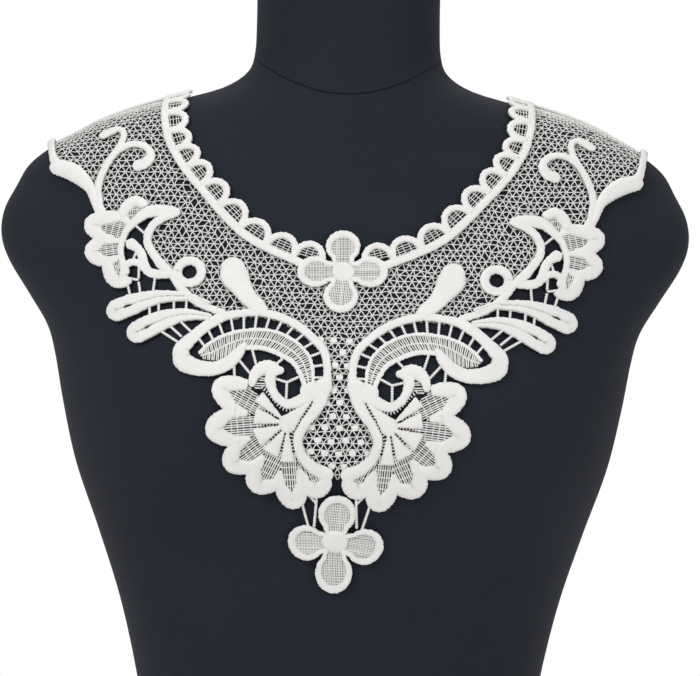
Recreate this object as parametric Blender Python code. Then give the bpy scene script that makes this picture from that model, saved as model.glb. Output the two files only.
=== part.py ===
"""A lace neckline applique resting on a limbless dress form.

Sizes in the tables are millimetres. The finished meshes are in metres, +Z up, with the front facing -Y.
The origin lies in the middle of the form's flat base. Left is the -X side, as seen from the front.
The lace is drawn on a flat pattern: u runs outward from its middle line and v upward along the cloth,
both from the middle of the top flower. The pattern is then draped over the form, over the shoulders too.
"""
import math
from collections import namedtuple

import bmesh
import bpy
import numpy as np
from mathutils import Vector
from mathutils.geometry import delaunay_2d_cdt

MM = 0.001

# The form: level sections, smoothed between the rows
SECTION_COLUMNS = ("height", "half_width", "front", "back", "lean", "fullness")
FORM_SECTIONS = (
    (0, 152, 106, 116, 2, 2.20),
    (30, 148, 104, 112, 2, 2.20),
    (70, 134, 99, 101, 1, 2.15),
    (105, 122, 96, 92, 0, 2.10),
    (135, 119, 96, 88, 0, 2.10),
    (160, 122.5, 97, 88, 0, 2.10),
    (200, 132, 101, 92, 0, 2.15),
    (240, 145, 108, 98, 0, 2.20),
    (280, 159, 115, 103, 0, 2.25),
    (315, 167, 117, 106, 0, 2.30),
    (345, 172.5, 114, 107, 0, 2.30),
    (362, 177.5, 110, 106, 0, 2.25),
    (380, 188.5, 105, 104, 1, 2.15),
    (400, 201, 99, 101, 1, 2.05),
    (415, 206, 94, 97, 2, 2.00),
    (430, 204.5, 88.5, 93, 2, 1.95),
    (445, 197, 83, 88, 2, 1.92),
    (457, 190, 78.5, 83, 2, 1.90),
    (467, 178, 74, 78, 2, 1.90),
    (475, 163, 70.5, 74, 1, 1.90),
    (483, 147, 67, 70, 0, 1.92),
    (491, 124, 64, 66, -1, 1.95),
    (498, 98, 61, 62, -2, 2.00),
    (505, 74, 58.5, 58.5, -4, 2.00),
    (514, 60, 56, 56, -6, 2.00),
    (525, 55.5, 54.5, 55, -8, 2.00),
    (545, 54.5, 53.5, 54.5, -11, 2.00),
    (575, 54.5, 53.5, 54.5, -15, 2.00),
)
BUST_X, BUST_Z, BUST_RISE = 82.0, 318.0, 20.0
BUST_SPREAD_X, BUST_SPREAD_Z = 56.0, 42.0
SHOULDER_Z = 415.0
NECK_HALF_WIDTH = 54.6
NECK_TOP_Z = 575.0
FORM_SIDES = 40
BUST_RINGS = (220.0, 260.0, 297.5, 330.0)
SECTION_STEPS = 40
COLUMN_FRONT_Z, COLUMN_BACK_Z = 150.0, 350.0
COLUMN_FRONT_COUNT, COLUMN_BACK_COUNT = 260, 200

# How the pattern lies on the form
DRAPE_Z = 425.0
DRAPE_STEP = 2.0
DRAPE_X_END = 200.0
DRAPE_LOW, DRAPE_HIGH = -290.0, 180.0
FLOWER_X, FLOWER_S = -0.6, -28.1
LACE_TILT = math.radians(0.8)

# Layers of the lace, measured off the form
NET_LIFT = 0.8
NET_WALL = 1.0
MOTIF_LIFT = 2.3
SEAM = 0.35
WEB_HEIGHT = 0.8
EDGE_HEIGHT = 1.1
CORD_HEIGHT = 2.0
LEAF_HEIGHT = 2.5
BAR_HEIGHT = 1.1
BAR_HALF = 0.8
NET_CELL = 13.0
SHOULDER_CELL = 9.0
SHOULDER_V = 50.0
WEB_CELL = 12.0
CURVE_TURN = 36.0
CURVE_SPAN = 11.0
CURVE_STEPS, LENGTH_STEPS = 12, 24
END_GAP = 2.0
WEB_MARGIN, NET_MARGIN = 0.45, 0.4
WEB_CORNERS = 12
CUT_TOLERANCE = 0.02
MERGE = 0.2
INNER_MERGE = 0.9
FINE_END = 3.0
PARTED = 0.12
RIDGE_REACH = 1.05
SHARP_ANGLE = 50

# The columns of the tables below. A stroke's rows run along its middle line
STROKE_COLUMNS = ("u", "v", "half_width")
BAR_COLUMNS = ("u0", "v0", "u1", "v1")
LOBE_COLUMNS = ("u", "v", "angle", "reach", "radius")
FAN_PETAL_COLUMNS = ("angle", "start", "end", "half_width")
FLOWER_PETAL_COLUMNS = ("angle", "distance", "half_length", "half_width")
SCALLOP_COLUMNS = ("distance", "half")
HALF = STROKE_COLUMNS.index("half_width")

# The neckline cord from beside the top flower, over the shoulder and down to the back edge
NECK = ((23.3, 1.1, 2.4), (30.5, 4.3, 2.5), (43, 10, 2.6), (56, 17.6, 2.6), (68.2, 29.1, 2.6),
        (80.8, 43.7, 2.5), (93.4, 59.1, 2.4), (102, 73.5, 2.3), (105.6, 86, 2.2), (107, 99, 2.1),
        (107, 113, 2), (106.8, 131, 2), (106, 150, 2))
# Its scallops: how far along the cord each one's middle stands, and half its width. The first one, beside
# the top flower, stands on a line of its own
SCALLOPS = ((15.5, 8.6), (34.1, 8.9), (53, 8.4), (70.2, 7.8), (85.6, 7.1), (99.8, 6.6), (113.3, 6.5),
            (127, 6.6), (141, 6.6), (155, 6.6), (169, 6.6))
SCALLOP_RISE, SCALLOP_RIM, SCALLOP_FOOT = 12.0, 2.0, 1.4
FIRST_SCALLOP = ((12.6, 2.2), (28, 6.8))
FIRST_SCALLOP_RISE = 9.5
SCALLOP_CORNERS = 6

# The outer edge cord from the shoulder leaf's tip over the shoulder, and the plain back edge
EDGE = ((169, 60, 4), (171.5, 64, 2.6), (173.2, 70, 2), (174.7, 80, 2), (176, 96, 2), (176.5, 113, 2))
BACK = ((176.5, 113, 2), (158, 125, 2), (134, 138, 2), (106, 150, 2))

# The shoulder sprig
LEAF = ((145, 34, 1.8), (148, 43.5, 3), (154, 51, 4.8), (161, 56, 5.6), (168.5, 58.5, 5))
STEM_LOW = ((142.5, 35, 2), (143.8, 45, 2), (142, 54.5, 2), (136.5, 66, 2), (130, 72.8, 2),
            (123.5, 74.6, 2.1), (117.2, 72.8, 2.3), (113.8, 67.5, 2.6), (116.5, 62.3, 3.2), (121, 60.2, 3.3))
STEM_HIGH = ((134.5, 69.5, 1.7), (131.2, 77, 1.8), (130.6, 83, 1.9), (133.5, 86.5, 2.2), (138, 85.5, 2.8),
             (143, 82, 2.6))

# The small shell
SHELL_LOBES = ((123, 28, 80, 5.5, 6.8), (133, 20, 26, 11.4, 7.8), (135.5, 6, 0, 7.8, 6.5),
               (130.4, -2, 278, 5.8, 7.6))
SHELL_BAND = ((101, 32, 3.6), (114, 32, 4), (124, 30.5, 5.5), (131.5, 26.5, 6.6), (136, 15.5, 6.2),
              (135.5, 2, 5.7), (131.5, -6, 5.2), (126.8, -10, 4))
CRESCENT = ((98, 31.5, 3), (104.5, 28, 2.6), (109.6, 23.9, 2.4), (113, 17.5, 2.4), (112.8, 11, 2.4),
            (109.3, 4.6, 2.5), (104.5, -1.5, 2.8), (99, -7, 2.6))
SHELL_SCROLL = ((122.3, 10.6, 3.5), (118.7, 8, 2.6), (116, 3.6, 2.7), (114.4, -1.6, 2.7),
                (111.6, -5.8, 2.7), (107.4, -7.4, 2.7), (101, -7.6, 2.6))
SHELL_HOOK = ((126.3, -8.5, 2), (126, -4, 2.1), (122.8, -0.6, 2.1), (118.5, -0.6, 2.1), (115.2, -3.4, 2.1))
SHELL_BARS = ((117.6, -2.5, 117.3, -10), (125, -9.3, 117.3, -10.8), (123, 24.5, 113.5, 16),
              (130.5, 14.3, 123.5, 11.4), (119.3, 7, 121.5, 0))
LOBE_ROOT = 0.8

# The ring with its tail, and the drop beside it
RING_U, RING_V, RING_RADIUS, RING_HALF, RING_CORNERS = 88, -6, 6.9, 2.7, 12
TAIL = ((97, -9.5, 2.2), (92, -16.5, 2.4), (86, -22.5, 2.4), (79, -27.3, 2.4), (73.5, -29.8, 2.3),
        (68.5, -31.6, 2.2))
DROP = ((62.9, -3.5, 7.2), (62.3, -6.5, 8.2), (60.6, -10.5, 7.8), (57.6, -15.5, 6.2), (53.6, -21.3, 5.2),
        (49.5, -25.5, 5), (46.5, -28.8, 4.4))

# The two feather leaves, from their narrow roots to their tips, and the bars between them and the shell
FEATHER_HIGH = ((76, -26.5, 1.8), (86, -22.2, 2.4), (95, -21.4, 3.2), (103.5, -21.5, 4.1),
                (112, -23.2, 5.3), (120.5, -26, 6.7), (128, -28.6, 6.7))
FEATHER_LOW = ((75, -35, 2), (83.5, -33.7, 3.1), (91.5, -33.6, 4.3), (99.5, -35.6, 5.7), (108, -39, 6.8),
               (115.3, -42.5, 6.8))
FEATHER_BARS = ((110.2, -27, 109.5, -34), (105, -24, 104.5, -32.5), (96.2, -23, 95.9, -31),
                (89, -22.5, 88.9, -31.5), (121.8, -13.5, 121.5, -21), (117.2, -12.1, 115.7, -20),
                (107.8, -8.8, 108.6, -19), (92.5, -36.5, 85.5, -43.8), (98, -39.5, 90.5, -47),
                (102.5, -43, 91.5, -51))

# The arched scroll
ARCH = ((86.3, -50, 3.8), (81, -44.5, 3.4), (76.5, -40.3, 3.3), (71.5, -36.8, 3.2), (65.5, -33.8, 2.8),
        (58, -32.1, 2.4), (48.5, -30.9, 2.5), (41, -31.7, 2.6), (34, -33.7, 2.6), (27, -37, 2.5),
        (20, -41.9, 2.5), (14, -47.4, 2.4), (9.8, -52.6, 2.5), (7.8, -59, 2.3), (7.2, -66, 2.4),
        (7.4, -71.5, 3.2))
ARCH_CREST = ((79.5, -57, 1), (75.3, -52.3, 1), (67, -46.8, 1), (57.5, -43.4, 1), (46, -42, 1),
              (36, -43.3, 1), (26, -48.2, 1), (18.8, -55.5, 1), (15.8, -63.5, 1), (15.2, -71, 1))
ARCH_HOLLOW = ((60, -56.5, 1.4), (55, -53.9, 1.4), (48, -53.3, 1.4), (41, -54, 1.4), (33.5, -57, 1.4),
               (27, -60.7, 1.4), (23.2, -66, 1.4), (20.6, -72, 1.4), (20.3, -76, 1.4))
BIG_LOBE = ((86.3, -50, 3.8), (90, -55, 4.6), (88.5, -62, 5.2), (80, -66, 4.6), (71, -66.4, 4.1),
            (63.5, -63, 4), (58.5, -57.8, 3.2), (55, -52.5, 1.8))
LADDER_STEPS, LADDER_ROOT = 14, 2.0
LADDER_FIRST, LADDER_LAST = 0.05, 0.97

# The large fan
FAN_CURL = ((16, -77.5, 4.4), (20, -80.6, 3.5), (25.2, -83.3, 3), (30, -84.2, 2.5), (35, -81.4, 2.5),
            (37.9, -77.3, 2.6), (39.5, -72.5, 3.1), (39.3, -67.5, 3.4))
FAN_KNOT = ((18, -76.5, 4.6), (12.5, -75.5, 5.6), (9, -73.5, 4.8))
CAP = ((49.8, -74, 2.2), (48.4, -69.6, 3), (45.2, -66, 4), (41.3, -64.8, 4.6), (37, -65.6, 4.2),
       (34.3, -65.8, 2.4))
FAN_NOTCHES = ((52, -75.5), (60.9, -89.1), (58.3, -107.9), (47.2, -121.9), (33.4, -131.7), (19, -129.5),
               (5.5, -125.5))
FAN_RISES = (10.5, 10.4, 8.2, 7.1, 10.1, 4.2)
FAN_NOTCH_HALF, FAN_BULGE_HALF, FAN_LOBE_CORNERS = 2.6, 5.0, 6
FAN_WEDGE_START, FAN_WEDGE_END, FAN_WEDGE_REACH = 4.2, 1.2, 9.5
FAN_WEB_CORNERS = ((24, -84), (38, -79))
S_CORD = ((10.5, -77, 5), (11.8, -83.5, 3.6), (15.2, -89, 3), (18.7, -93.7, 2.7), (22, -100, 2.8),
          (22.7, -106, 2.8), (19.6, -113.5, 3), (14, -119, 3.6), (6.5, -122.8, 4.4))
HUB = ((15, -81.5, 1.8), (21.5, -88, 4.4), (29, -95, 7))
HUB_U, HUB_V = 29, -95
FAN_PETAL_ROOT = 0.7
FAN_PETALS = ((39, 5, 19.5, 3), (9.6, 5, 17.5, 3), (-27, 5, 17.5, 3.4),
              (-62, 5, 18, 3.4), (-94.5, 5, 20, 3.4))
FAN_BARS = ((30.1, -72.2, 37.2, -70.5), (30.1, -72.2, 23, -68.4), (30.1, -72.2, 30.3, -83),
            (58.8, -59.5, 51, -68.5), (50.6, -53.5, 47.5, -64), (32.2, -58, 36.8, -62.5),
            (60.3, -62, 59.6, -71.5), (19.3, -132.5, 11.4, -141), (11.5, -133.5, 11.4, -141),
            (11.4, -141, 12.2, -156), (20.3, -138.5, 15.3, -156.5))

# The two flowers
TOP_V = -2.9
TOP_PETALS = ((1, 15.5, 7.9, 7.2), (91.8, 15.9, 7.8, 7.7), (182, 16.2, 7.9, 7.2), (266.7, 15.5, 8, 7.7))
PENDANT_V = -164.5
PENDANT_PETALS = ((350.4, 17.4, 8.3, 8.8), (87.4, 17.5, 9.2, 8.5), (185.9, 16.6, 8, 8.7),
                  (269.4, 19.3, 10.2, 8.2))
PETAL_RIM, TOP_EYE, PENDANT_EYE, EYE_SHIFT, PETAL_CORNERS = 2.3, 6.0, 7.1, 0.5, 12

# The net's corners that lie off the cords: beside the top flower, under the shoulder leaf, and at its foot
NET_TOP = (0, -1)
NET_UNDER_LEAF = ((138, 29), (124, 31))
NET_FOOT = (0, -124)

# Colours of the lace and the form
LACE_COLOUR = (0.86, 0.84, 0.79, 1.0)
NET_COLOUR = (0.80, 0.78, 0.74, 1.0)
FORM_COLOUR = (0.018, 0.022, 0.035, 1.0)
LACE_ROUGHNESS, CLOTH_ROUGHNESS = 0.75, 0.8

# A stroke of thread: its centre line with half widths, the height of its ridge and of its edge, whether it
# closes on itself, and which of its ends are round: "both", "last" or "none"
Stroke = namedtuple("Stroke", "path ridge edge closed round_ends")


def smooth_rows(rows, steps):
    """Catmull-Rom curve through rows of numbers, with the same count of steps in each span."""
    rows = np.array(rows, float)
    place = np.linspace(0, len(rows) - 1, (len(rows) - 1) * steps + 1)
    row = np.clip(place.astype(int), 0, len(rows) - 2)
    f = (place - row)[:, None]
    padded = np.vstack([2 * rows[0] - rows[1], rows, 2 * rows[-1] - rows[-2]])
    a, b, c, d = padded[row], padded[row + 1], padded[row + 2], padded[row + 3]
    bend = (2 * a - 5 * b + 4 * c - d) * f ** 2 + (3 * b - a - 3 * c + d) * f ** 3
    return 0.5 * (2 * b + (c - a) * f + bend)


def named(columns, row):
    return dict(zip(columns, row))


class FormSurface:
    """The outside of the dress form, and the lace pattern's place on it."""

    def __init__(self):
        self.rows = smooth_rows(FORM_SECTIONS, SECTION_STEPS)
        self.height = self.rows[:, 0]
        shoulder = self.rows[self.height >= SHOULDER_Z]
        self.shoulder_height = shoulder[:, 0]
        self.shoulder_width = shoulder[:, SECTION_COLUMNS.index("half_width")]
        self.xs = np.arange(0, DRAPE_X_END, DRAPE_STEP)
        self.ss = np.arange(DRAPE_LOW, DRAPE_HIGH + 1, DRAPE_STEP)
        columns = [self.column(x) for x in self.xs]
        self.y_grid = np.array([np.interp(self.ss, s, y) for s, y, z in columns])
        self.z_grid = np.array([np.interp(self.ss, s, z) for s, y, z in columns])

    def size(self, z, name):
        return np.interp(z, self.height, self.rows[:, SECTION_COLUMNS.index(name)])

    def depth(self, x, z, front):
        """The y of the surface at x and z, on its front or its back."""
        fullness = self.size(z, "fullness")
        across = np.clip(np.abs(x) / self.size(z, "half_width"), 0, 1)
        roundness = (1 - across ** fullness) ** (1 / fullness)
        if not front:
            return self.size(z, "lean") + self.size(z, "back") * roundness
        level = BUST_RISE * np.exp(-((z - BUST_Z) / BUST_SPREAD_Z) ** 2 / 2)
        bust = level * sum(np.exp(-((x - bust_x) / BUST_SPREAD_X) ** 2 / 2) for bust_x in (-BUST_X, BUST_X))
        return self.size(z, "lean") - (self.size(z, "front") + bust) * roundness

    def crest(self, x):
        """Height of the shoulder's top line at x."""
        if x <= NECK_HALF_WIDTH:
            return NECK_TOP_Z
        return np.interp(-x, -self.shoulder_width, self.shoulder_height)

    def column(self, x):
        """The curve that the surface makes at one x, from low on the front, over the top, to the back."""
        top = self.crest(x)
        half_width = self.rows[:, SECTION_COLUMNS.index("half_width")]
        too_narrow = self.height[(half_width <= x) & (self.height < SHOULDER_Z)]
        low = max(COLUMN_FRONT_Z, too_narrow.max() + 0.01) if len(too_narrow) else COLUMN_FRONT_Z
        front_z = top - (top - low) * np.linspace(1, 0, COLUMN_FRONT_COUNT) ** 2
        back_z = top - (top - COLUMN_BACK_Z) * np.linspace(0, 1, COLUMN_BACK_COUNT)[1:] ** 2
        y = np.concatenate([self.depth(x, front_z, True), self.depth(x, back_z, False)])
        z = np.concatenate([front_z, back_z])
        s = np.concatenate([[0], np.cumsum(np.hypot(np.diff(y), np.diff(z)))])
        s -= np.interp(DRAPE_Z, front_z, s[:len(front_z)])
        return s, y, z

    def on_surface(self, x, s):
        """Points at x and at length s along the surface's curve there."""
        column = np.clip(np.abs(x) / DRAPE_STEP, 0, len(self.xs) - 1.001)
        row = np.clip((s - DRAPE_LOW) / DRAPE_STEP, 0, len(self.ss) - 1.001)
        i, j = column.astype(int), row.astype(int)
        f, g = column - i, row - j

        def between(grid):
            low = grid[i, j] * (1 - g) + grid[i, j + 1] * g
            high = grid[i + 1, j] * (1 - g) + grid[i + 1, j + 1] * g
            return low * (1 - f) + high * f

        return np.stack([x, between(self.y_grid), between(self.z_grid)], -1)

    def drape(self, points, side, lift):
        """Pattern points on the form, on the left for side -1 and on the right for 1, lifted off it."""
        u, v = side * points[:, 0], points[:, 1]
        x = FLOWER_X + u * math.cos(LACE_TILT) + v * math.sin(LACE_TILT)
        s = FLOWER_S - u * math.sin(LACE_TILT) + v * math.cos(LACE_TILT)
        along_x = self.on_surface(x + DRAPE_STEP, s) - self.on_surface(x - DRAPE_STEP, s)
        along_s = self.on_surface(x, s + DRAPE_STEP) - self.on_surface(x, s - DRAPE_STEP)
        outward = np.cross(along_x, along_s)
        outward /= np.linalg.norm(outward, axis=1)[:, None]
        return self.on_surface(x, s) + outward * np.reshape(lift, (-1, 1))


def curve_points(rows, max_turn=CURVE_TURN, max_length=CURVE_SPAN):
    """A smooth curve through the rows, kept only where it turns or runs far."""
    fine = smooth_rows(rows, CURVE_STEPS)
    heading = np.degrees(np.arctan2(*np.diff(fine[:, :2], axis=0).T[::-1]))
    kept = [fine[0]]
    turned = length = 0.0
    for i in range(1, len(fine) - 1):
        turned += abs((heading[i] - heading[i - 1] + 180) % 360 - 180)
        length += math.dist(fine[i, :2], fine[i - 1, :2])
        if turned > max_turn or length > max_length:
            kept.append(fine[i])
            turned = length = 0.0
    if math.dist(kept[-1][:2], fine[-1, :2]) < END_GAP and len(kept) > 2:
        kept.pop()
    return np.array(kept + [fine[-1]])


def cord(rows, ridge=CORD_HEIGHT, span=CURVE_SPAN):
    return Stroke(curve_points(rows, max_length=span), ridge, EDGE_HEIGHT, False, "both")


def leaf(rows):
    return Stroke(curve_points(rows), LEAF_HEIGHT, EDGE_HEIGHT, False, "both")


def bar(u0, v0, u1, v1):
    path = np.array([(u0, v0, BAR_HALF), (u1, v1, BAR_HALF)], float)
    return Stroke(path, BAR_HEIGHT, BAR_HEIGHT, False, "none")


def ring(u, v, radius, half_width, corners):
    angles = np.linspace(0, math.tau, corners, endpoint=False)
    around = np.stack([u + radius * np.cos(angles), v + radius * np.sin(angles)], -1)
    path = np.column_stack([around, np.full(corners, half_width)])
    return Stroke(path, CORD_HEIGHT, EDGE_HEIGHT, True, "none")


def bulb(u, v, radius):
    path = np.array([(u - EYE_SHIFT, v, radius), (u + EYE_SHIFT, v, radius)])
    return Stroke(path, LEAF_HEIGHT, EDGE_HEIGHT, False, "both")


def lobe(u, v, angle, reach, radius):
    du, dv = reach * math.cos(math.radians(angle)), reach * math.sin(math.radians(angle))
    path = np.array([(u, v, radius * LOBE_ROOT), (u + du, v + dv, radius)])
    return Stroke(path, LEAF_HEIGHT, EDGE_HEIGHT, False, "last")


def edges_of(path, closed):
    """The two side lines of a stroke, a half width from its centre line."""
    points = path[:, :2]
    if closed:
        along = np.roll(points, -1, axis=0) - np.roll(points, 1, axis=0)
    else:
        along = np.gradient(points, axis=0)
    along /= np.linalg.norm(along, axis=1)[:, None]
    across = np.stack([-along[:, 1], along[:, 0]], -1) * path[:, [HALF]]
    return points + across, points - across


def turned_ccw(corners):
    corners = np.array(corners)
    following = np.roll(corners, -1, axis=0)
    area = (corners[:, 0] * following[:, 1] - corners[:, 1] * following[:, 0]).sum()
    return corners if area > 0 else corners[::-1]


def stroke_faces(stroke, grow=0.0):
    """The outline of a stroke as small faces, a left and a right one for each span, and its round ends."""
    path = stroke.path + np.array([0, 0, grow])
    left, right = edges_of(path, stroke.closed)
    middle = path[:, :2]
    count = len(path)
    faces = []
    for i in range(count if stroke.closed else count - 1):
        j = (i + 1) % count
        faces.append(turned_ccw([middle[i], middle[j], left[j], left[i]]))
        faces.append(turned_ccw([middle[i], right[i], right[j], middle[j]]))
    ends = {"both": ((0, 1), (-1, -2)), "last": ((-1, -2),), "none": ()}[stroke.round_ends]
    for end, inner in ends:
        outward = middle[end] - middle[inner]
        start = math.atan2(outward[1], outward[0])
        turns = (90, 45, 0, -45, -90) if stroke.path[end, HALF] > FINE_END else (90, 0, -90)
        angles = start + np.radians(turns)
        arc = middle[end] + path[end, HALF] * np.stack([np.cos(angles), np.sin(angles)], -1)
        arc[0], arc[-1] = (left[end], right[end]) if end else (right[end], left[end])
        faces.append(turned_ccw([middle[end], *arc]))
    return faces


def grown(outline, amount):
    """A closed outline moved outward by an amount."""
    outline = turned_ccw(outline)
    along = np.roll(outline, -1, axis=0) - np.roll(outline, 1, axis=0)
    along /= np.linalg.norm(along, axis=1)[:, None]
    return outline + amount * np.stack([along[:, 1], -along[:, 0]], -1)


def stroke_heights(points, stroke):
    """Height of a stroke's rounded top at each point, or zero outside it."""
    path = np.vstack([stroke.path, stroke.path[:1]]) if stroke.closed else stroke.path
    start, along = path[:-1, :2], np.diff(path[:, :2], axis=0)
    offset = points[:, None] - start[None]
    place = np.clip((offset * along).sum(-1) / (along ** 2).sum(-1), 0, 1)
    distance = np.linalg.norm(offset - place[..., None] * along, axis=-1)
    half = path[:-1, HALF] * (1 - place) + path[1:, HALF] * place
    ratio = (distance / half).min(axis=1)
    dome = stroke.edge + (stroke.ridge - stroke.edge) * np.sqrt(np.clip(1 - ratio ** 2, 0, 1))
    return np.where(ratio < RIDGE_REACH, dome, 0)


def inside(points, outline):
    """True for the points that lie within a closed outline."""
    ends = np.roll(outline, -1, axis=0)
    above = (outline[None, :, 1] > points[:, None, 1]) != (ends[None, :, 1] > points[:, None, 1])
    rise = np.where(ends[:, 1] == outline[:, 1], 1e-9, ends[:, 1] - outline[:, 1])
    cross = outline[:, 0] + (points[:, None, 1] - outline[:, 1]) / rise * (ends[:, 0] - outline[:, 0])
    return (above & (points[:, None, 0] < cross)).sum(axis=1) % 2 == 1


def filling_points(outline, cell, near, clearance):
    """A triangular grid of points within an outline, clear of the points that are already there."""
    low, high = outline.min(axis=0), outline.max(axis=0)
    rows = []
    for k, v in enumerate(np.arange(low[1], high[1], cell * math.sqrt(0.75))):
        us = np.arange(low[0] + (k % 2) * cell / 2, high[0], cell)
        rows.append(np.stack([us, np.full(len(us), v)], -1))
    grid = np.vstack(rows)
    grid = grid[inside(grid, outline)]
    distance = np.linalg.norm(grid[:, None] - near[None], axis=-1).min(axis=1)
    return grid[distance > clearance]


def cut_out(own, others, extra):
    """Triangles of the plane inside any of the own faces and inside none of the others."""
    corners, faces = [], []
    for face in own + others:
        faces.append(list(range(len(corners), len(corners) + len(face))))
        corners.extend(Vector(point) for point in face)
    corners.extend(Vector(point) for point in extra)
    made = delaunay_2d_cdt(corners, [], faces, 1, CUT_TOLERANCE, True)
    vertices, triangles, sources = made[0], made[2], made[5]
    kept = [tri for tri, source in zip(triangles, sources)
            if any(s < len(own) for s in source) and not any(s >= len(own) for s in source)]
    return np.array([tuple(v) for v in vertices]), kept


def flat_mesh(vertices, triangles):
    """A flat mesh of the largest connected sheet among the triangles, with no corner shared by two fans."""
    mesh = bmesh.new()
    made = [mesh.verts.new((v[0], v[1], 0)) for v in vertices]
    for tri in triangles:
        mesh.faces.new([made[i] for i in tri])
    bmesh.ops.remove_doubles(mesh, verts=mesh.verts[:], dist=MERGE)
    merge_inner_vertices(mesh)
    for edge in list(mesh.edges):
        if edge.is_valid and len(edge.link_faces) > 2:
            smallest = sorted(edge.link_faces, key=lambda face: face.calc_area())[:-2]
            bmesh.ops.delete(mesh, geom=smallest, context="FACES_ONLY")
    bmesh.ops.delete(mesh, geom=[e for e in mesh.edges if not e.link_faces], context="EDGES")
    bmesh.ops.delete(mesh, geom=[v for v in mesh.verts if not v.link_faces], context="VERTS")
    for vertex in list(mesh.verts):
        rim = [edge for edge in vertex.link_edges if edge.is_boundary]
        if len(rim) > 2:
            for part in bmesh.utils.vert_separate(vertex, rim):
                middle = sum((face.calc_center_median() for face in part.link_faces), Vector())
                inward = middle / len(part.link_faces) - part.co
                part.co += inward.normalized() * PARTED
    keep_largest_sheet(mesh)
    return mesh


def merge_inner_vertices(mesh):
    """Joins each vertex inside the sheet to a close neighbour, which leaves the outline as it is."""
    targets, used = {}, set()
    for edge in sorted(mesh.edges, key=lambda edge: edge.calc_length()):
        if edge.calc_length() > INNER_MERGE:
            break
        for vertex in edge.verts:
            other = edge.other_vert(vertex)
            if not vertex.is_boundary and vertex not in used and other not in used:
                targets[vertex] = other
                used.update((vertex, other))
    bmesh.ops.weld_verts(mesh, targetmap=targets)


def keep_largest_sheet(mesh):
    left_over = set(mesh.faces)
    sheets = []
    while left_over:
        sheet, edge_of_sheet = set(), [left_over.pop()]
        while edge_of_sheet:
            face = edge_of_sheet.pop()
            sheet.add(face)
            around = {f for e in face.edges for f in e.link_faces} & left_over
            left_over -= around
            edge_of_sheet.extend(around)
        sheets.append(sheet)
    sheets.sort(key=lambda sheet: sum(face.calc_area() for face in sheet))
    spare = [face for sheet in sheets[:-1] for face in sheet]
    bmesh.ops.delete(mesh, geom=spare, context="FACES")


def raised_solid(name, mesh, side, base_lift, heights_at):
    """Closes a flat pattern mesh into a draped wall with a plain inside and a shaped outside."""
    flat = np.array([v.co[:2] for v in mesh.verts])
    inner = mesh.verts[:]
    outer = bmesh.ops.extrude_face_region(mesh, geom=mesh.faces[:], use_keep_orig=True)
    outer = [v for v in outer["geom"] if isinstance(v, bmesh.types.BMVert)]
    tops = np.array([v.co[:2] for v in outer])
    base = SURFACE.drape(flat, side, np.full(len(flat), base_lift))
    raised = SURFACE.drape(tops, side, base_lift + heights_at(tops))
    for vertex, place in zip(inner, base):
        vertex.co = place * MM
    for vertex, place in zip(outer, raised):
        vertex.co = place * MM
    return add_object(name, mesh)


def add_object(name, mesh):
    """Turns a closed mesh's faces outward and makes an object of it."""
    bmesh.ops.recalc_face_normals(mesh, faces=mesh.faces[:])
    if mesh.calc_volume(signed=True) < 0:
        bmesh.ops.reverse_faces(mesh, faces=mesh.faces[:])
    data = bpy.data.meshes.new(name)
    mesh.to_mesh(data)
    mesh.free()
    data.shade_smooth()
    data.set_sharp_from_angle(angle=math.radians(SHARP_ANGLE))
    made = bpy.data.objects.new(name, data)
    PARTS.objects.link(made)
    return made


def lace_piece(name, side, strokes, webs=(), neighbours=()):
    """One motif: strokes with a rounded ridge over thin webs, kept a seam's width from the neighbours."""
    own = [face for stroke in strokes for face in stroke_faces(stroke)] + [turned_ccw(web) for web in webs]
    others = []
    for strokes_there, webs_there in neighbours:
        others += [face for stroke in strokes_there for face in stroke_faces(stroke, SEAM)]
        others += [grown(web, SEAM) for web in webs_there]
    corners = np.vstack(own)
    extra = [filling_points(np.array(web), WEB_CELL, corners, WEB_CELL * WEB_MARGIN)
             for web in webs if len(web) > WEB_CORNERS]
    extra = np.vstack(extra) if extra else np.empty((0, 2))
    mesh = flat_mesh(*cut_out(own, others, extra))

    def heights_at(points):
        ridges = [stroke_heights(points, stroke) for stroke in strokes]
        return np.max([np.full(len(points), WEB_HEIGHT)] + ridges, axis=0)

    return raised_solid(name, mesh, side, MOTIF_LIFT, heights_at)


def along_curve(rows, distances):
    """Points and directions at distances along a smooth curve."""
    fine = smooth_rows(rows, LENGTH_STEPS)[:, :2]
    steps = np.linalg.norm(np.diff(fine, axis=0), axis=1)
    length = np.concatenate([[0], np.cumsum(steps)])
    points = np.stack([np.interp(distances, length, fine[:, k]) for k in (0, 1)], -1)
    span = np.clip(np.searchsorted(length, distances, side="right") - 1, 0, len(steps) - 1)
    along = fine[span + 1] - fine[span]
    return points, along / np.linalg.norm(along, axis=1)[:, None], length[-1]


def arch_between(start, end, rise, half_width, bulge_width, corners):
    """A half ellipse that stands on the line from start to end, to its left."""
    start, end = np.array(start, float), np.array(end, float)
    along = (end - start) / 2
    across = np.array([-along[1], along[0]]) / np.linalg.norm(along)
    angles = np.linspace(0, math.pi, corners)
    points = (start + end) / 2 - np.outer(np.cos(angles), along) + np.outer(np.sin(angles) * rise, across)
    return np.column_stack([points, half_width + (bulge_width - half_width) * np.sin(angles)])


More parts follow.
